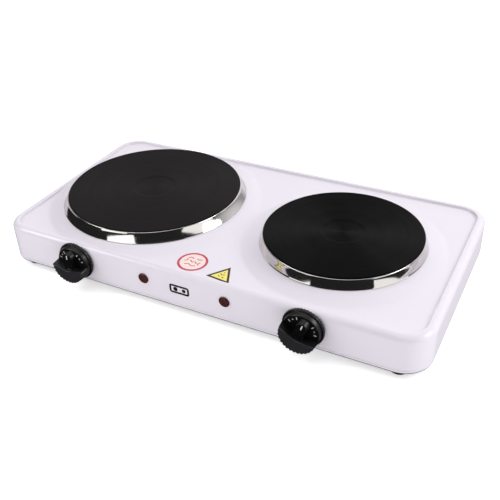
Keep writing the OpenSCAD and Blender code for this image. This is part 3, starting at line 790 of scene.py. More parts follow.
@dataclass
class Housing:
    """The pressed and enamelled housing, drawn from one height rule for its top."""

    spots: list[HotSpot]
    middle_y: float
    core_x: float = 198.0
    core_y: float = 89.5
    corner_r: float = 28.0
    edge_r: float = 6.0
    rim_in: float = 19.2
    rim_blend: float = 2.0
    rim_round: float = 0.3
    seat_round: float = 0.5
    panel_round: float = 0.35
    rim_z: float = 47.0
    panel_z: float = 44.5
    seat_z: float = 49.0
    skirt_z: float = 9.2
    sheet: float = 1.0
    hole_in: float = 4.5
    seat_flat: float = 1.0
    seat_out: float = 23.0
    seam_u: float = 16.0
    step: float = 3.0
    grid: float = 5.5
    corner_steps: int = 24
    edge_steps: int = 12
    segments: int = 288
    hem_z: float = 11.7
    hem_depth: float = 0.4
    lug_x: float = 172.0
    lug_half: Point2 = (7.0, 6.0)
    lug_h: float = 6.0
    lug_hole: float = 2.0
    bushing_hole: float = 4.8
    bracket_screw_hole: float = 1.7
    bracket_screw_out: float = 13.0
    lens_hole: float = 4.4
    gland_hole: float = 6.5

    @staticmethod
    def soft_max(a: np.ndarray, b: np.ndarray, k: float) -> np.ndarray:
        """Gives the higher of two heights, with the crease between them rounded over a depth k."""
        return np.maximum(a, b) + np.maximum(k - np.abs(a - b), 0) ** 2 / (4 * k)

    def top_height(self, x: np.ndarray, y: np.ndarray) -> np.ndarray:
        """Gives the height of the outer skin inside the rolled edge.

        Args:
            x: the points' x.
            y: the points' y.

        Returns:
            The height at each point.
        """
        ax = np.maximum(np.abs(x) - self.core_x, 0)
        ay = np.maximum(np.abs(y - self.middle_y) - self.core_y, 0)
        u = np.hypot(ax, ay)
        t = np.clip((u - self.rim_in) / self.rim_blend + 0.5, 0, 1)
        rim = self.panel_z + (self.rim_z - self.panel_z) * t * t * (3 - 2 * t)
        height = np.full_like(x, self.panel_z)
        for spot in self.spots:
            d = np.hypot(x - spot.x, y - spot.y)
            flat = spot.foot + self.seat_flat
            fall = (self.seat_z - self.panel_z) / (self.seat_out - flat)
            slope = self.seat_z - fall * (d - spot.radius - flat)
            seat = -self.soft_max(-slope, np.full_like(x, -self.seat_z), self.seat_round)
            height = self.soft_max(height, seat, self.panel_round)
        return self.soft_max(height, rim, self.rim_round)

    def way_round(self) -> list[tuple[float, float, float, float]]:
        """Gives the core rectangle's points, and the outward direction at each, anticlockwise.

        Returns:
            Each point's x, y and outward direction.
        """
        corners = [(1, -1, -90), (1, 1, 0), (-1, 1, 90), (-1, -1, 180)]
        way = []
        for n, (sx, sy, start) in enumerate(corners):
            cx, cy = sx * self.core_x, sy * self.core_y
            for i in range(self.corner_steps + 1):
                a = math.radians(start + 90 * i / self.corner_steps)
                way.append((cx, cy, math.cos(a), math.sin(a)))
            ex, ey = corners[(n + 1) % 4][0] * self.core_x, corners[(n + 1) % 4][1] * self.core_y
            gaps = round(math.hypot(ex - cx, ey - cy) / self.step)
            a = math.radians(start + 90)
            for i in range(1, gaps):
                s = i / gaps
                way.append((cx + (ex - cx) * s, cy + (ey - cy) * s, math.cos(a), math.sin(a)))
        return way

    def outer_profile(self) -> list[tuple[float, float | None]]:
        """Gives distance from the core and height from the seam outward; no height means the top's own rule.

        Returns:
            Pairs of distance and height.
        """
        steps: list[tuple[float, float | None]] = [(u, None) for u in (
            self.seam_u, 16.8, 17.5, 18.0, 18.4, 18.8, 19.1, 19.4, 19.7, 20.0, 20.3, 20.8, 21.4)]
        centre_u, centre_z = self.corner_r - self.edge_r, self.rim_z - self.edge_r
        for i in range(self.edge_steps + 1):
            a = math.radians(90 - 90 * i / self.edge_steps)
            steps.append((centre_u + self.edge_r * math.cos(a), centre_z + self.edge_r * math.sin(a)))
        hem, deep = self.hem_z, self.corner_r - self.hem_depth
        steps += [(self.corner_r, z) for z in (36.0, 31.0, 26.0, 21.0, 16.0, 13.0, hem + 0.6)]
        steps += [(deep, hem + 0.15), (deep, hem - 0.15)]
        steps += [(self.corner_r, hem - 0.6), (self.corner_r, self.skirt_z + 0.3), (self.corner_r - 0.2, self.skirt_z)]
        return steps

    def skin(self) -> Mesh:
        """Builds the outer skin: a triangulated top inside the seam, and loops from the seam to the hem.

        Returns:
            The skin, open below.
        """
        way = np.array(self.way_round())
        count = len(way)
        points: list[Point2] = []

        def at(u: float) -> tuple[np.ndarray, np.ndarray]:
            """Gives the way round at a distance from the core."""
            return way[:, 0] + u * way[:, 2], way[:, 1] + u * way[:, 3] + self.middle_y

        seam_x, seam_y = at(self.seam_u)
        points.extend(zip(seam_x.tolist(), seam_y.tolist()))
        edges = [(i, (i + 1) % count) for i in range(count)]

        def inside(x: float, y: float, margin: float) -> bool:
            """Tells whether a point lies inside the seam.

            Args:
                x: the point's x.
                y: the point's y.
                margin: how far inside it must lie.

            Returns:
                Whether it does.
            """
            ax = max(abs(x) - self.core_x, 0)
            ay = max(abs(y - self.middle_y) - self.core_y, 0)
            return math.hypot(ax, ay) < self.seam_u - margin

        for spot in self.spots:
            hole = spot.radius - self.hole_in
            first = len(points)
            foot = spot.radius + self.seat_out
            radii = [hole, hole + 2, spot.radius]
            radii += list(np.arange(spot.radius + 2.5, foot + 2.1, 1.25))
            for k, r in enumerate(radii):
                for i in range(self.segments):
                    a = 2 * math.pi * (i + 0.5 * (k % 2)) / self.segments
                    x, y = spot.x + r * math.cos(a), spot.y + r * math.sin(a)
                    if k == 0 or inside(x, y, 1.2):
                        points.append((x, y))
            edges += [(first + i, first + (i + 1) % self.segments) for i in range(self.segments)]
        for x in np.arange(-self.core_x - 14, self.core_x + 14.1, self.grid):
            for y in np.arange(-self.core_y - 14, self.core_y + 14.1, self.grid):
                wy = float(y) + self.middle_y
                far = all(math.hypot(x - s.x, wy - s.y) > s.radius + self.seat_out + 3.5 for s in self.spots)
                if far and inside(float(x), wy, 2.5):
                    points.append((float(x), wy))
        flat, _, faces, _, _, _ = delaunay_2d_cdt([Vector(p) for p in points], edges, [], 1, 1e-5)
        keep = []
        for f in faces:
            cx = sum(flat[i][0] for i in f) / len(f)
            cy = sum(flat[i][1] for i in f) / len(f)
            if all(math.hypot(cx - s.x, cy - s.y) > s.radius - self.hole_in - 0.05 for s in self.spots):
                keep.append(tuple(f))
        xs = np.array([p[0] for p in flat])
        ys = np.array([p[1] for p in flat])
        mesh = Mesh(list(zip(xs.tolist(), ys.tolist(), self.top_height(xs, ys).tolist())), keep)
        rows: list[tuple[float, float, float]] = []
        profile = self.outer_profile()
        for u, z in profile:
            x, y = at(u)
            heights = self.top_height(x, y) if z is None else np.full(count, z)
            rows.extend(zip(x.tolist(), y.tolist(), heights.tolist()))
        mesh.extend(rows, [tuple(reversed(f)) for f in loops_faces(len(profile), count)])
        return mesh

    def lugs(self) -> Mesh:
        """Builds the four screw lugs that stand on the inside of the long walls.

        Returns:
            The lugs.
        """
        wall = self.core_y + self.corner_r - self.sheet
        mesh, (w, d) = Mesh(), self.lug_half
        for sx, sy in FOUR_CORNERS:
            x, y = sx * self.lug_x, self.middle_y + sy * (wall - 5.8)
            block = [(x - w, y - d), (x + w, y - d), (x + w, y + d), (x - w, y + d)]
            mesh.join(slab(block, self.skirt_z, self.skirt_z + self.lug_h))
        return mesh

    def cutters(self, controls: Sequence[Point2], lamps: Sequence[Point2]) -> Mesh:
        """Builds the rods that open the walls for bushings, screws, lenses, gland and base screws.

        Args:
            controls: x and height of each control.
            lamps: x and height of each lamp.

        Returns:
            The rods.
        """
        mesh = Mesh()
        front = self.middle_y - self.core_y - self.corner_r
        holes = [(x, z, self.bushing_hole) for x, z in controls]
        holes += [(x + s * self.bracket_screw_out, z, self.bracket_screw_hole) for x, z in controls for s in (-1, 1)]
        holes += [(x, z, self.lens_hole) for x, z in lamps]
        spots = [(x, front, z, r) for x, z, r in holes]
        spots.append((0.0, self.middle_y + self.core_y + self.corner_r, controls[0][1], self.gland_hole))
        for x, y, z, r in spots:
            stand = Matrix.Translation((x, y, z)) @ Matrix.Rotation(math.radians(90), 4, "X")
            mesh.join(slab(circle(r, 40), -3, 3).turned(stand))
        for sx, sy in FOUR_CORNERS:
            y = self.middle_y + sy * (self.core_y + self.corner_r - self.sheet - 6.5)
            rod = circle(self.lug_hole, 24, (sx * self.lug_x, y))
            mesh.join(slab(rod, self.skirt_z - 1, self.skirt_z + self.lug_h + 1))
        return mesh

    def build(self, controls: Sequence[Point2], lamps: Sequence[Point2]) -> None:
        """Builds the shell, gives it its sheet thickness and cuts its holes.

        Args:
            controls: x and height of each control.
            lamps: x and height of each lamp.
        """
        thing = bm_object("housing_shell", self.skin(), merge=2e-6)
        shell = thing.modifiers.new("sheet", "SOLIDIFY")
        shell.thickness, shell.offset, shell.use_even_offset = self.sheet * MM, -1.0, True
        settle(thing)
        combine(thing, bm_object("lugs", self.lugs()), "UNION")
        combine(thing, bm_object("rods", self.cutters(controls, lamps)), "DIFFERENCE")
        finish_piece(thing, ENAMEL, Body.BASE, ["top_housing"], crease_deg=40)


# ---- Hot plates ----


@dataclass
class HotPlate:
    """A cast-iron plate and its polished trim ring."""

    side: str
    spot: HotSpot
    recess_r: float
    iron: Turned
    plate_z: float = 60.0
    seat_z: float = 49.0
    edge_w: float = 1.4
    edge_h: float = 1.5
    flare: float = 1.1
    segments: int = 256

    def plate_profile(self) -> list[Point2]:
        """Gives the casting's profile from the underside, round the skirt and rim, to the recess.

        Returns:
            Radius and height, from the axis below to the axis above.
        """
        r, top = self.spot.radius, self.plate_z
        out, inner, low = r - 6, r - 10, 46.5
        under = [(0, low + 5.5), (3, low + 5.5), (3, low + 1), (14, low + 1), (14, top - 6), (inner, top - 6),
                 (inner, low), (out, low), (out, self.seat_z + 0.85), (r - 0.9, self.seat_z + 0.85)]
        rim = []
        for i in range(11):
            a = math.radians(90 * i / 10)
            rim.append((r - self.edge_w * (1 - math.cos(a)), top - self.edge_h * (1 - math.sin(a))))
        face = [(r - self.edge_w - 0.7, top), (r - self.edge_w - 8, top)]
        step = self.recess_r
        face += [(step + 3.0, top), (step + 2.0, top - 0.03), (step + 1.0, top - 0.17), (step, top - 0.42),
                 (step - 1.0, top - 0.6), (step - 2.0, top - 0.67), (step - 3.2, top - 0.7), (2.0, top - 0.64),
                 (0, top - 0.64)]
        return under + rim + face

    def ring_profile(self) -> list[Point2]:
        """Gives the ring's closed profile: flange, flared foot, conical wall and a lip rolled to the plate.

        Returns:
            Radius and height, closed on itself.
        """
        r, z, foot = self.spot.radius, self.seat_z, self.spot.foot
        low, high, lip, steps = 0.95, 9.2, 1.08, 10
        wall = []
        for k in range(steps + 1):
            t = k / steps
            wall.append((lip + (foot - 0.3 - lip) * (1 - t) ** self.flare, low + (high - low) * t))
        outer = [(-5.4, 0.0), (foot - 0.2, 0.0), (foot, 0.15), (foot, 0.45), (foot - 0.1, 0.7), *wall, (0.98, 9.6),
                 (0.82, 9.9), (0.6, 10.05), (0.4, 10.05), (0.2, 9.9)]
        inner = [(0.2, 9.4), (0.5, 9.3), *[(x - 0.62, y - 0.25) for x, y in wall[-2:0:-1]], (foot - 1.1, 0.8),
                 (-5.4, 0.8)]
        return [(r + x, z + y) for x, y in outer + inner]

    def build(self) -> None:
        """Builds both pieces and stands them on the seat."""
        stand = Matrix.Translation((self.spot.x, self.spot.y, 0))
        plate = bm_object(f"{self.side}_hot_plate", lathe(self.plate_profile(), self.segments).turned(stand))
        finish_piece(plate, self.iron, Body.BASE, [f"{self.side}_plate"], crease_deg=50)
        ring = bm_object(f"{self.side}_ring", lathe(self.ring_profile(), self.segments).turned(stand))
        finish_piece(ring, self.steel(), Body.BASE, [f"{self.side}_trim_ring"], crease_deg=60)

    def steel(self) -> Spun:
        """Gives the ring's finish: stainless spun thin and polished bright."""
        return Spun(f"polished_stainless_{self.side}", "#D9D6D2", 0.07, metallic=1.0, grain_mm=0.5, relief_mm=0.002,
                    drift_mm=14.0, tone=0.05, spread=0.025, centre=(self.spot.x * MM, self.spot.y * MM))


# ---- Knobs ----


@dataclass
class Knob:
    """A dial knob: serrated skirt, coned shelf, fluted grip, pointer lobe and white dial marks."""

    side: str
    body: Body
    x: float
    z: float
    face_y: float
    turn_deg: float
    skirt_r: float = 20.0
    gap: float = 1.0
    skirt_w: float = 4.5
    shelf_w: float = 9.0
    reach: float = 18.0
    grip_r: float = 18.4
    grip_top: float = 1.0
    lobe_w: float = 15.0
    lobe_r: float = 5.5
    lobe_y: float = 9.5
    ribs: int = 40
    flutes: int = 14
    flute_cut: float = 1.25
    chord_hollow: float = 3.6
    spindle_bore: float = 3.05

    def place(self) -> Matrix:
        """Gives the matrix from the knob's own frame, +Z outward, to the appliance."""
        return facing_front(self.x, self.face_y, self.z) @ Matrix.Rotation(math.radians(-self.turn_deg), 4, "Z")

    def turned_body(self) -> Mesh:
        """Builds the skirt and the shelf, hollow behind.

        Returns:
            The skirt and the shelf.
        """
        r = self.skirt_r - 0.55
        profile = [(0, 2.8), (17.3, 2.8), (17.5, 2.6), (17.5, self.gap), (r - 0.5, self.gap), (r, self.gap + 0.4),
                   (r, 3.9), (r - 0.15, 4.2), (r - 0.5, self.skirt_w), (18.3, 4.55), (18.05, 4.8), (17.35, 7.9),
                   (17.1, 8.5), (16.7, 8.9), (16.2, self.shelf_w), (0, self.shelf_w)]
        return lathe(profile, 160)

    def rib(self) -> Mesh:
        """Builds one serration of the skirt, drawn about its own origin.

        Returns:
            One rib.
        """
        half = 0.95
        outline = [(-0.6, -half), (0.2, -half * 0.75), (0.5, -0.25), (0.55, 0), (0.5, 0.25), (0.2, half * 0.75),
                   (-0.6, half)]
        return stack(outline, [(0.15, self.gap + 0.15), (0, self.gap + 0.4), (0, 3.9), (0.15, 4.25)], (-0.3, 0))

    def grip_outline(self) -> list[Point2]:
        """Gives the grip's half moon: a fluted arc closed by a slightly hollow chord.

        Returns:
            The outline, anticlockwise.
        """
        top = math.degrees(math.asin(self.grip_top / self.grip_r))
        start, end = 180 - top, 360 + top
        steps, chord_steps = 168, 40
        line = []
        for i in range(steps + 1):
            t = i / steps
            a = math.radians(start + (end - start) * t)
            cut = self.flute_cut * (0.5 - 0.5 * math.cos(2 * math.pi * self.flutes * t)) ** 2
            line.append(((self.grip_r - cut) * math.cos(a), (self.grip_r - cut) * math.sin(a)))
        right, left = line[-1], line[0]
        for i in range(1, chord_steps):
            t = i / chord_steps
            line.append((right[0] + (left[0] - right[0]) * t, right[1] - self.chord_hollow * math.sin(math.pi * t)))
        return line

    def grip(self) -> Mesh:
        """Builds the grip with rolled edges and a dished front.

        Returns:
            The grip.
        """
        def dish(x: float, y: float) -> float:
            """Gives how far the front sinks at a point."""
            return -0.9 * max(0.0, 1 - math.hypot(x, y + 8.3) / 15)

        levels = [(0.0, self.skirt_w + 0.3), (0.9, self.reach - 1.0), (1.05, self.reach - 0.5),
                  (1.3, self.reach - 0.16), (1.75, self.reach)]
        return stack(self.grip_outline(), levels, (0, -9.0), dish, 8)

    def lobe(self) -> Mesh:
        """Builds the pointer lobe, a rounded tongue from the grip to the shelf's edge.

        Returns:
            The lobe.
        """
        outline = circle(self.lobe_r, 28, (0, self.lobe_y), -8, 196)
        outline += [(-self.lobe_r + 0.4, 5), (-self.lobe_r + 0.2, -4.5), (self.lobe_r - 0.2, -4.5),
                    (self.lobe_r - 0.4, 5)]
        top = self.lobe_w
        levels = [(-0.6, self.shelf_w - 0.4), (0.0, self.shelf_w + 0.8), (0.5, top - 1.0), (0.7, top - 0.45),
                  (1.1, top - 0.12), (1.6, top)]
        return stack(outline, levels, (0, 6), lambda x, y: -0.03 * (x * x), 6)

    def prints(self) -> Mesh:
        """Builds the white marks: ticks and dots on the shelf, and a line on the lobe.

        Returns:
            All the marks.
        """
        ink = 0.05
        mesh = Mesh()
        tick = slab([(-1.3, -0.35), (1.3, -0.35), (1.3, 0.35), (-1.3, 0.35)], self.shelf_w, self.shelf_w + ink)
        dot = slab(circle(0.55, 14), self.shelf_w, self.shelf_w + ink)
        for shape, radius, start, step, count in ((tick, 13.9, 22, 34, 5), (dot, 13.6, 39, 34, 4)):
            mesh.join(RoundPattern(count, radius, start, step).spread("marks", shape, DIAL_INK))
        line = slab([(-0.45, 8.4), (0.45, 8.4), (0.45, 13.1), (-0.45, 13.1)], self.lobe_w - 0.02, self.lobe_w + ink)
        mesh.join(line)
        return mesh

    def build(self) -> None:
        """Builds the knob and its print and puts both on the spindle."""
        place = self.place()
        name = f"{self.side}_dial_knob"
        ribs = RoundPattern(self.ribs, self.skirt_r - 0.56, 0, 360 / self.ribs).spread("ribs", self.rib(), KNOB_BLACK)
        knob = bm_object(name, self.turned_body().turned(place))
        for part, shape in (("ribs", ribs), ("grip", self.grip()), ("lobe", self.lobe())):
            combine(knob, bm_object(part, shape.turned(place)), "UNION")
        bore = slab(circle(self.spindle_bore, 48), 2.0, 14.05)
        combine(knob, bm_object("bore", bore.turned(place)), "DIFFERENCE")
        finish_piece(knob, KNOB_BLACK, self.body, [f"{self.side}_knob"], crease_deg=30)
        marks = bm_object(f"{self.side}_dial_print", self.prints().turned(place))
        finish_piece(marks, DIAL_INK, self.body)


# ---- Small turned pieces ----


@dataclass
class Lamp:
    """An indicator lamp's lens: a domed cap over a round barrel."""

    side: str
    x: float
    z: float
    face_y: float
    cap_r: float = 5.5
    reach: float = 2.1

    def build(self) -> None:
        """Builds the lens and sets it in the front wall."""
        profile = [(0, -1), (3.2, -1), (3.2, -12), (4.2, -12), (4.4, -11.7), (4.4, -2.2), (4.9, -1.9), (4.9, -1.0),
                   (4.4, -0.99), (4.4, 0), (5.3, 0), (self.cap_r, 0.15), (self.cap_r, 0.7), (5.35, 0.92),
                   (5.0, 1.08)]
        for i in range(1, 8):
            a = math.radians(66 + 24 * i / 8)
            profile.append((12.3 * math.cos(a), self.reach - 12.3 + 12.3 * math.sin(a)))
        profile.append((0, self.reach))
        stand = facing_front(self.x, self.face_y, self.z)
        lens = bm_object(f"{self.side}_lamp_lens", lathe(profile, 72).turned(stand))
        finish_piece(lens, LENS_RED, Body.BASE, [f"{self.side}_lens"])


@dataclass
class Foot:
    """A moulded rubber foot with a rolled edge and a screw recess."""

    node: str

    def build(self) -> None:
        """Builds the foot in its CAD place."""
        low, high = node_box(self.node)
        height, top_r = high.z, (high.x - low.x) / 2
        profile = [(4.6, 0.3), (4.9, 0.0), (top_r - 2.0, 0.0), (top_r - 1.25, 0.35), (top_r - 0.9, 1.1),
                   (top_r - 0.5, 3.6), (top_r - 0.45, 3.9), (top_r - 0.6, 4.1), (top_r - 0.4, 4.4),
                   (top_r, height - 0.4), (top_r - 0.2, height), (2.0, height), (2.0, height - 3),
                   (4.6, height - 3)]
        stand = Matrix.Translation(((low.x + high.x) / 2, (low.y + high.y) / 2, 0))
        foot = bm_object(f"{self.node}_pad", lathe(profile, 72).turned(stand))
        finish_piece(foot, RUBBER, Body.BASE, [self.node])


@dataclass
class Gland:
    """The moulded cord gland in the rear wall, with grip notches round its flange."""

    face_y: float
    z: float

    def build(self) -> None:
        """Builds the gland, open through its middle."""
        profile = [(3.6, -11.5), (6.2, -11.5), (6.5, -11.2), (6.5, -2.6), (7.0, -2.4), (7.0, -1.05), (6.5, -1.0),
                   (6.5, 0.0), (8.8, 0.0), (9.0, 0.2), (9.0, 1.5), (8.7, 2.1), (7.9, 2.5), (4.6, 2.5), (4.0, 2.3),
                   (3.6, 1.8)]
        stand = Matrix(((-1, 0, 0, 0), (0, 0, 1, self.face_y), (0, 1, 0, self.z), (0, 0, 0, 1)))
        gland = bm_object("cord_gland", lathe(profile, 96).turned(stand))
        finish_piece(gland, NYLON, Body.BASE, ["inlet_gland"])


# ---- Prints ----


@dataclass
class Prints:
    """Ink on the two stickers and on the front wall; every mark is plain and generic."""

    panel_face_y: float
    ink: float = 0.04
    band: float = 2.5
    round_pen: float = 1.1
    triangle_pen: float = 0.9

    def round_sticker(self) -> None:
        """Prints a crimson band and a few loose strokes on the round sticker."""
        low, high = node_box("round_label")
        cx, cy = (low.x + high.x) / 2, (low.y + high.y) / 2
        r, z = (high.x - low.x) / 2, high.z
        mesh = frame_slab(circle(r - 0.1, 96, (cx, cy)), circle(r - self.band, 96, (cx, cy)), z, z + self.ink)
        strokes = [
            [(-7.5, 4.5), (-4.5, 6.5), (-1.5, 5.2)],
            [(1.8, 6.0), (4.5, 5.0), (7.2, 6.4)],
            [(-8.5, -1.0), (-6.0, 1.2), (-7.0, 3.0)],
            [(-3.5, 1.8), (-0.5, -0.6), (2.6, 0.8), (4.8, -1.6)],
            [(7.8, 1.5), (6.2, -1.0), (7.6, -3.2)],
            [(-6.0, -5.8), (-2.0, -4.2), (2.0, -6.4), (5.5, -4.8)],
        ]
        for line in strokes:
            mesh.join(slab(stroke([(cx + x, cy + y) for x, y in line], self.round_pen), z, z + self.ink))
        thing = bm_object("round_label_print", mesh)
        finish_piece(thing, CRIMSON_INK, Body.BASE)

    def triangle_sticker(self) -> None:
        """Prints a black border and a scatter of short marks on the three-cornered sticker."""
        node = frame["nodes"]["triangle_label"]
        z = node_box("triangle_label")[1].z
        corners: list[Point2] = []
        for v in node.data.vertices:
            p = v.co / MM
            if abs(p.z - z) < 0.01 and all(math.hypot(p.x - q[0], p.y - q[1]) > 0.5 for q in corners):
                corners.append((p.x, p.y))
        cx, cy = sum(c[0] for c in corners) / 3, sum(c[1] for c in corners) / 3
        corners.sort(key=lambda c: math.atan2(c[1] - cy, c[0] - cx))

        def shrunk(share: float) -> list[Point2]:
            """Gives the corners drawn in towards the middle."""
            return [(cx + (x - cx) * share, cy + (y - cy) * share) for x, y in corners]

        mesh = frame_slab(shrunk(0.985), shrunk(0.7), z, z + self.ink)
        up = math.atan2(corners[-1][1] - cy, corners[-1][0] - cx)
        marks = [[(2.0, 2.6), (0.8, 0.4), (2.2, -2.0)], [(-1.2, 3.0), (-2.2, 1.0)], [(-1.8, -1.0), (-2.6, -3.6)],
                 [(4.6, 0.4), (5.4, -0.4)]]
        for line in marks:
            turned = [
                (cx + x * math.cos(up) - y * math.sin(up), cy + x * math.sin(up) + y * math.cos(up)) for x, y in line
            ]
            mesh.join(slab(stroke(turned, self.triangle_pen), z, z + self.ink))
        thing = bm_object("triangle_label_print", mesh)
        finish_piece(thing, PANEL_INK, Body.BASE)

    def front_mark(self) -> None:
        """Prints a plain sign for two plates on the front: a rounded frame with a large and a small disc."""
        x0, x1, z0, z1, pen = -20.0, 1.5, 24.2, 34.0, 2.1

        def rounded(inset: float) -> list[Point2]:
            """Gives the frame's outline with round corners.

            Args:
                inset: how far it is drawn in.

            Returns:
                The outline, anticlockwise.
            """
            r = 2.4 - inset
            ends = [(x1 - inset, z0 + inset, -90), (x1 - inset, z1 - inset, 0), (x0 + inset, z1 - inset, 90),
                    (x0 + inset, z0 + inset, 180)]
            line = []
            for x, z, start in ends:
                sx = -1 if x > -9 else 1
                sz = -1 if z > 29 else 1
                line += circle(r, 9, (x + sx * r, z + sz * r), start, 90)
            return line

        shapes = [frame_slab(rounded(0), rounded(pen), 0, self.ink)]
        shapes.append(slab(circle(2.4, 40, (x0 + 6.6, (z0 + z1) / 2)), 0, self.ink))
        shapes.append(slab(circle(2.0, 40, (x1 - 5.8, (z0 + z1) / 2)), 0, self.ink))
        mesh = Mesh()
        for shape in shapes:
            mesh.join(shape.turned(facing_front(0, self.panel_face_y, 0)))
        thing = bm_object("front_mark", mesh)
        finish_piece(thing, PANEL_INK, Body.BASE)

    def build(self) -> None:
        """Prints everything."""
        self.round_sticker()
        self.triangle_sticker()
        self.front_mark()


# ---- Carried-over CAD nodes ----


def dress_frame() -> None:
    """Gives every CAD node that still shows its slot's finish."""
    slots = {row["node"]: row["material_slot"] for row in frame["record"]["subparts"]}
    for name, node in frame["nodes"].items():
        finish = SLOT_FINISHES.get(slots.get(name, ""))
        if finish is None or node.hide_render:
            continue
        for holder in node.material_slots:
            holder.material = finish.material()
        log.info("%s: %s", name, finish.name)


# ---- Studio ----


@dataclass
class SoftBox:
    """A soft light with four sides: where it stands, what it looks at, and how strong it is."""

    name: str
    place: tuple[float, float, float]
    target: tuple[float, float, float]
    width: float
    height: float
    watts: float

    def build(self) -> None:
        """Hangs the light."""
        data = bpy.data.lights.new(self.name, "AREA")
        data.shape, data.size, data.size_y, data.energy = "RECTANGLE", self.width, self.height, self.watts
        lamp = bpy.data.objects.new(self.name, data)
        lamp.location = self.place
        away = Vector(self.place) - Vector(self.target)
        lamp.rotation_mode = "QUATERNION"
        lamp.rotation_quaternion = away.to_track_quat("Z", "Y")
        bpy.context.scene.collection.objects.link(lamp)


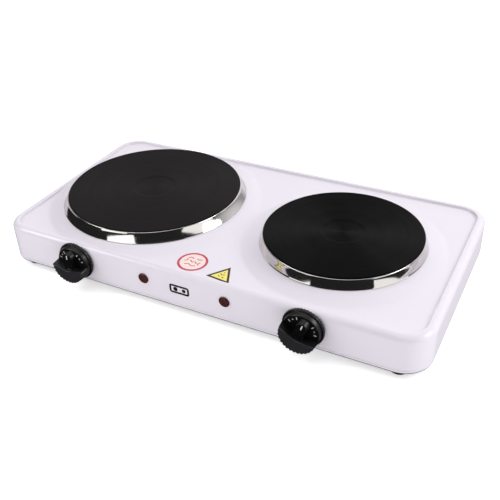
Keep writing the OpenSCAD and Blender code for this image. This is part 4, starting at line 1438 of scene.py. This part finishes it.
@dataclass
class Studio:
    """Camera, floor, room and lights."""

    azimuth_deg: float = 28.25392
    elevation_deg: float = 33.76239
    roll_deg: float = -2.19084
    camera_mm: tuple[float, float, float] = (303.329, -548.451, 428.396)
    lens_mm: float = 51.24
    floor_m: float = 3.5
    floor_glow: float = 0.6
    room: float = 0.82
    rear: float = 1.5
    dark: float = 0.02

    def camera(self) -> None:
        """Stands the camera where the work is seen from."""
        a, e, roll = (math.radians(v) for v in (self.azimuth_deg, self.elevation_deg, self.roll_deg))
        back = Vector((math.sin(a) * math.cos(e), -math.cos(a) * math.cos(e), math.sin(e)))
        right = Vector((math.cos(a), math.sin(a), 0))
        up = back.cross(right)
        rolled_right = right * math.cos(roll) + up * math.sin(roll)
        rolled_up = up * math.cos(roll) - right * math.sin(roll)
        data = bpy.data.cameras.new("camera")
        data.lens, data.sensor_width = self.lens_mm, 36.0
        data.clip_start, data.clip_end = 0.01, 50.0
        camera = bpy.data.objects.new("camera", data)
        turn = Matrix((rolled_right, rolled_up, back)).transposed().to_4x4()
        camera.matrix_world = Matrix.Translation(Vector(self.camera_mm) * MM) @ turn
        bpy.context.scene.collection.objects.link(camera)
        bpy.context.scene.camera = camera

    def floor(self) -> None:
        """Lays a wide, plain white floor."""
        mesh = bpy.data.meshes.new("floor")
        rim = [(x, y, 0.0) for x, y in circle(self.floor_m, 96)]
        mesh.from_pydata(rim, [], [tuple(range(96))])
        floor = bpy.data.objects.new("floor", mesh)
        bpy.context.scene.collection.objects.link(floor)
        material = bpy.data.materials.new("white_sweep")
        material.use_nodes = True
        tree = material.node_tree
        tree.nodes.clear()
        shader = add(tree, "ShaderNodeBsdfPrincipled", {
            "Base Color": linear("#F8F7F8"),
            "Roughness": 0.9,
            "Emission Color": (1.0, 1.0, 1.0, 1.0),
            "Emission Strength": self.floor_glow,
            "Specular IOR Level": 0.0,
        })
        add(tree, "ShaderNodeOutputMaterial", {"Surface": shader.outputs["BSDF"]})
        mesh.materials.append(material)
        floor.visible_glossy = False

    def world(self) -> None:
        """Lights the room: dim at eye level, lighter behind and overhead."""
        world = bpy.data.worlds.new("room")
        bpy.context.scene.world = world
        world.use_nodes = True
        tree = world.node_tree
        tree.nodes.clear()
        way = add(tree, "ShaderNodeSeparateXYZ", {"Vector": add(tree, "ShaderNodeTexCoord").outputs["Generated"]})
        high, rear, lift = (
            add(tree, "ShaderNodeMapRange", {
                "Value": way.outputs[axis], "From Min": start, "From Max": end, "To Min": least, "To Max": most,
            }).outputs[0]
            for axis, start, end, least, most in (
                ("Z", 0.6, 0.95, self.dark, self.room), ("Y", 0.2, 0.9, 0.0, self.rear), ("Z", 0.0, 0.35, 0.25, 1.0))
        )
        back = add(tree, "ShaderNodeMath", {0: rear, 1: lift}, operation="MULTIPLY")
        both = add(tree, "ShaderNodeMath", {0: high, 1: back.outputs[0]}, operation="ADD")
        glow = add(tree, "ShaderNodeBackground", {"Color": (0.97, 0.965, 1.0, 1.0), "Strength": both.outputs[0]})
        add(tree, "ShaderNodeOutputWorld", {"Surface": glow.outputs[0]})

    def lights(self) -> None:
        """Hangs two small boxes in front, one on the left, two on the right and a large one overhead."""
        for box in (
            SoftBox("front_low_box", (-0.35, -0.75, 0.14), (-0.1, 0.0, 0.05), 0.45, 0.22, 0.45),
            SoftBox("front_high_box", (-0.26, -0.75, 0.5), (-0.1, 0.0, 0.05), 0.46, 0.24, 0.55),
            SoftBox("left_box", (-1.0, -0.55, 1.0), (0.0, 0.0, 0.05), 0.6, 0.6, 6.0),
            SoftBox("right_box", (1.0, -0.13, 0.3), (0.0, 0.0, 0.15), 0.8, 0.7, 2.0),
            SoftBox("end_box", (1.25, 0.3, 0.85), (0.2, 0.0, 0.05), 0.6, 0.6, 8.0),
            SoftBox("top_box", (-0.2, -0.35, 1.5), (0.0, 0.0, 0.05), 1.2, 0.8, 2.5),
        ):
            box.build()

    def build(self) -> None:
        """Sets up everything that isn't the object."""
        self.camera()
        self.floor()
        self.world()
        self.lights()
        view = bpy.context.scene.view_settings
        view.view_transform, view.look, view.exposure, view.gamma = "Standard", "None", 0.0, 1.0


def main() -> None:
    """Builds the appliance from the housing outward, then the studio."""
    logging.basicConfig(level=logging.INFO, format="%(message)s")
    low, high = node_box("top_housing")
    middle_y, front_y, rear_y = (low.y + high.y) / 2, low.y, high.y
    spots = []
    for size, radius in PLATE_RADII.items():
        at = node_centre(f"{size}_plate")
        spots.append(HotSpot(at.x, at.y, radius, node_box(f"{size}_trim_ring")[1].x - at.x - radius))
    large, small = spots
    controls = [(node_centre(f"{side}_spindle").x, node_centre(f"{side}_bushing").z) for side in SIDES]
    lamps = [(node_centre(f"{side}_lens").x, node_centre(f"{side}_lens").z) for side in SIDES]
    Housing(spots, middle_y).build(controls, lamps)
    # Cast iron, turned flat and stove-blacked: the tool's rings really lie 0.3 mm apart, drawn wider to show
    large_iron = Turned("blacked_iron_large", "#181516", 0.6, grain_mm=0.9, relief_mm=0.02, drift_mm=9.0, tone=0.12,
                        centre=(large.x * MM, large.y * MM), pitch_mm=1.1, ring_share=0.45, gloss=0.07, brushed=0.45)
    small_iron = Turned("blacked_iron_small", "#050405", 0.45, grain_mm=0.8, relief_mm=0.05, drift_mm=8.0, tone=0.25,
                        centre=(small.x * MM, small.y * MM), pitch_mm=1.3, ring_share=0.7, gloss=0.047, brushed=0.95)
    HotPlate("large", large, 22.0, large_iron).build()
    HotPlate("small", small, 20.0, small_iron).build()
    Knob("left", Body.LEFT, *controls[0], front_y, 0.0).build()
    Knob("right", Body.RIGHT, *controls[1], front_y, 20.0).build()
    for side, (x, z) in zip(SIDES, lamps):
        Lamp(side, x, z, front_y).build()
    for end in ("front", "rear"):
        for side in SIDES:
            Foot(f"foot_{end}_{side}").build()
    Gland(rear_y, node_centre("inlet_gland").z).build()
    Prints(front_y).build()
    dress_frame()
    Studio().build()


if __name__ == "__main__":
    main()
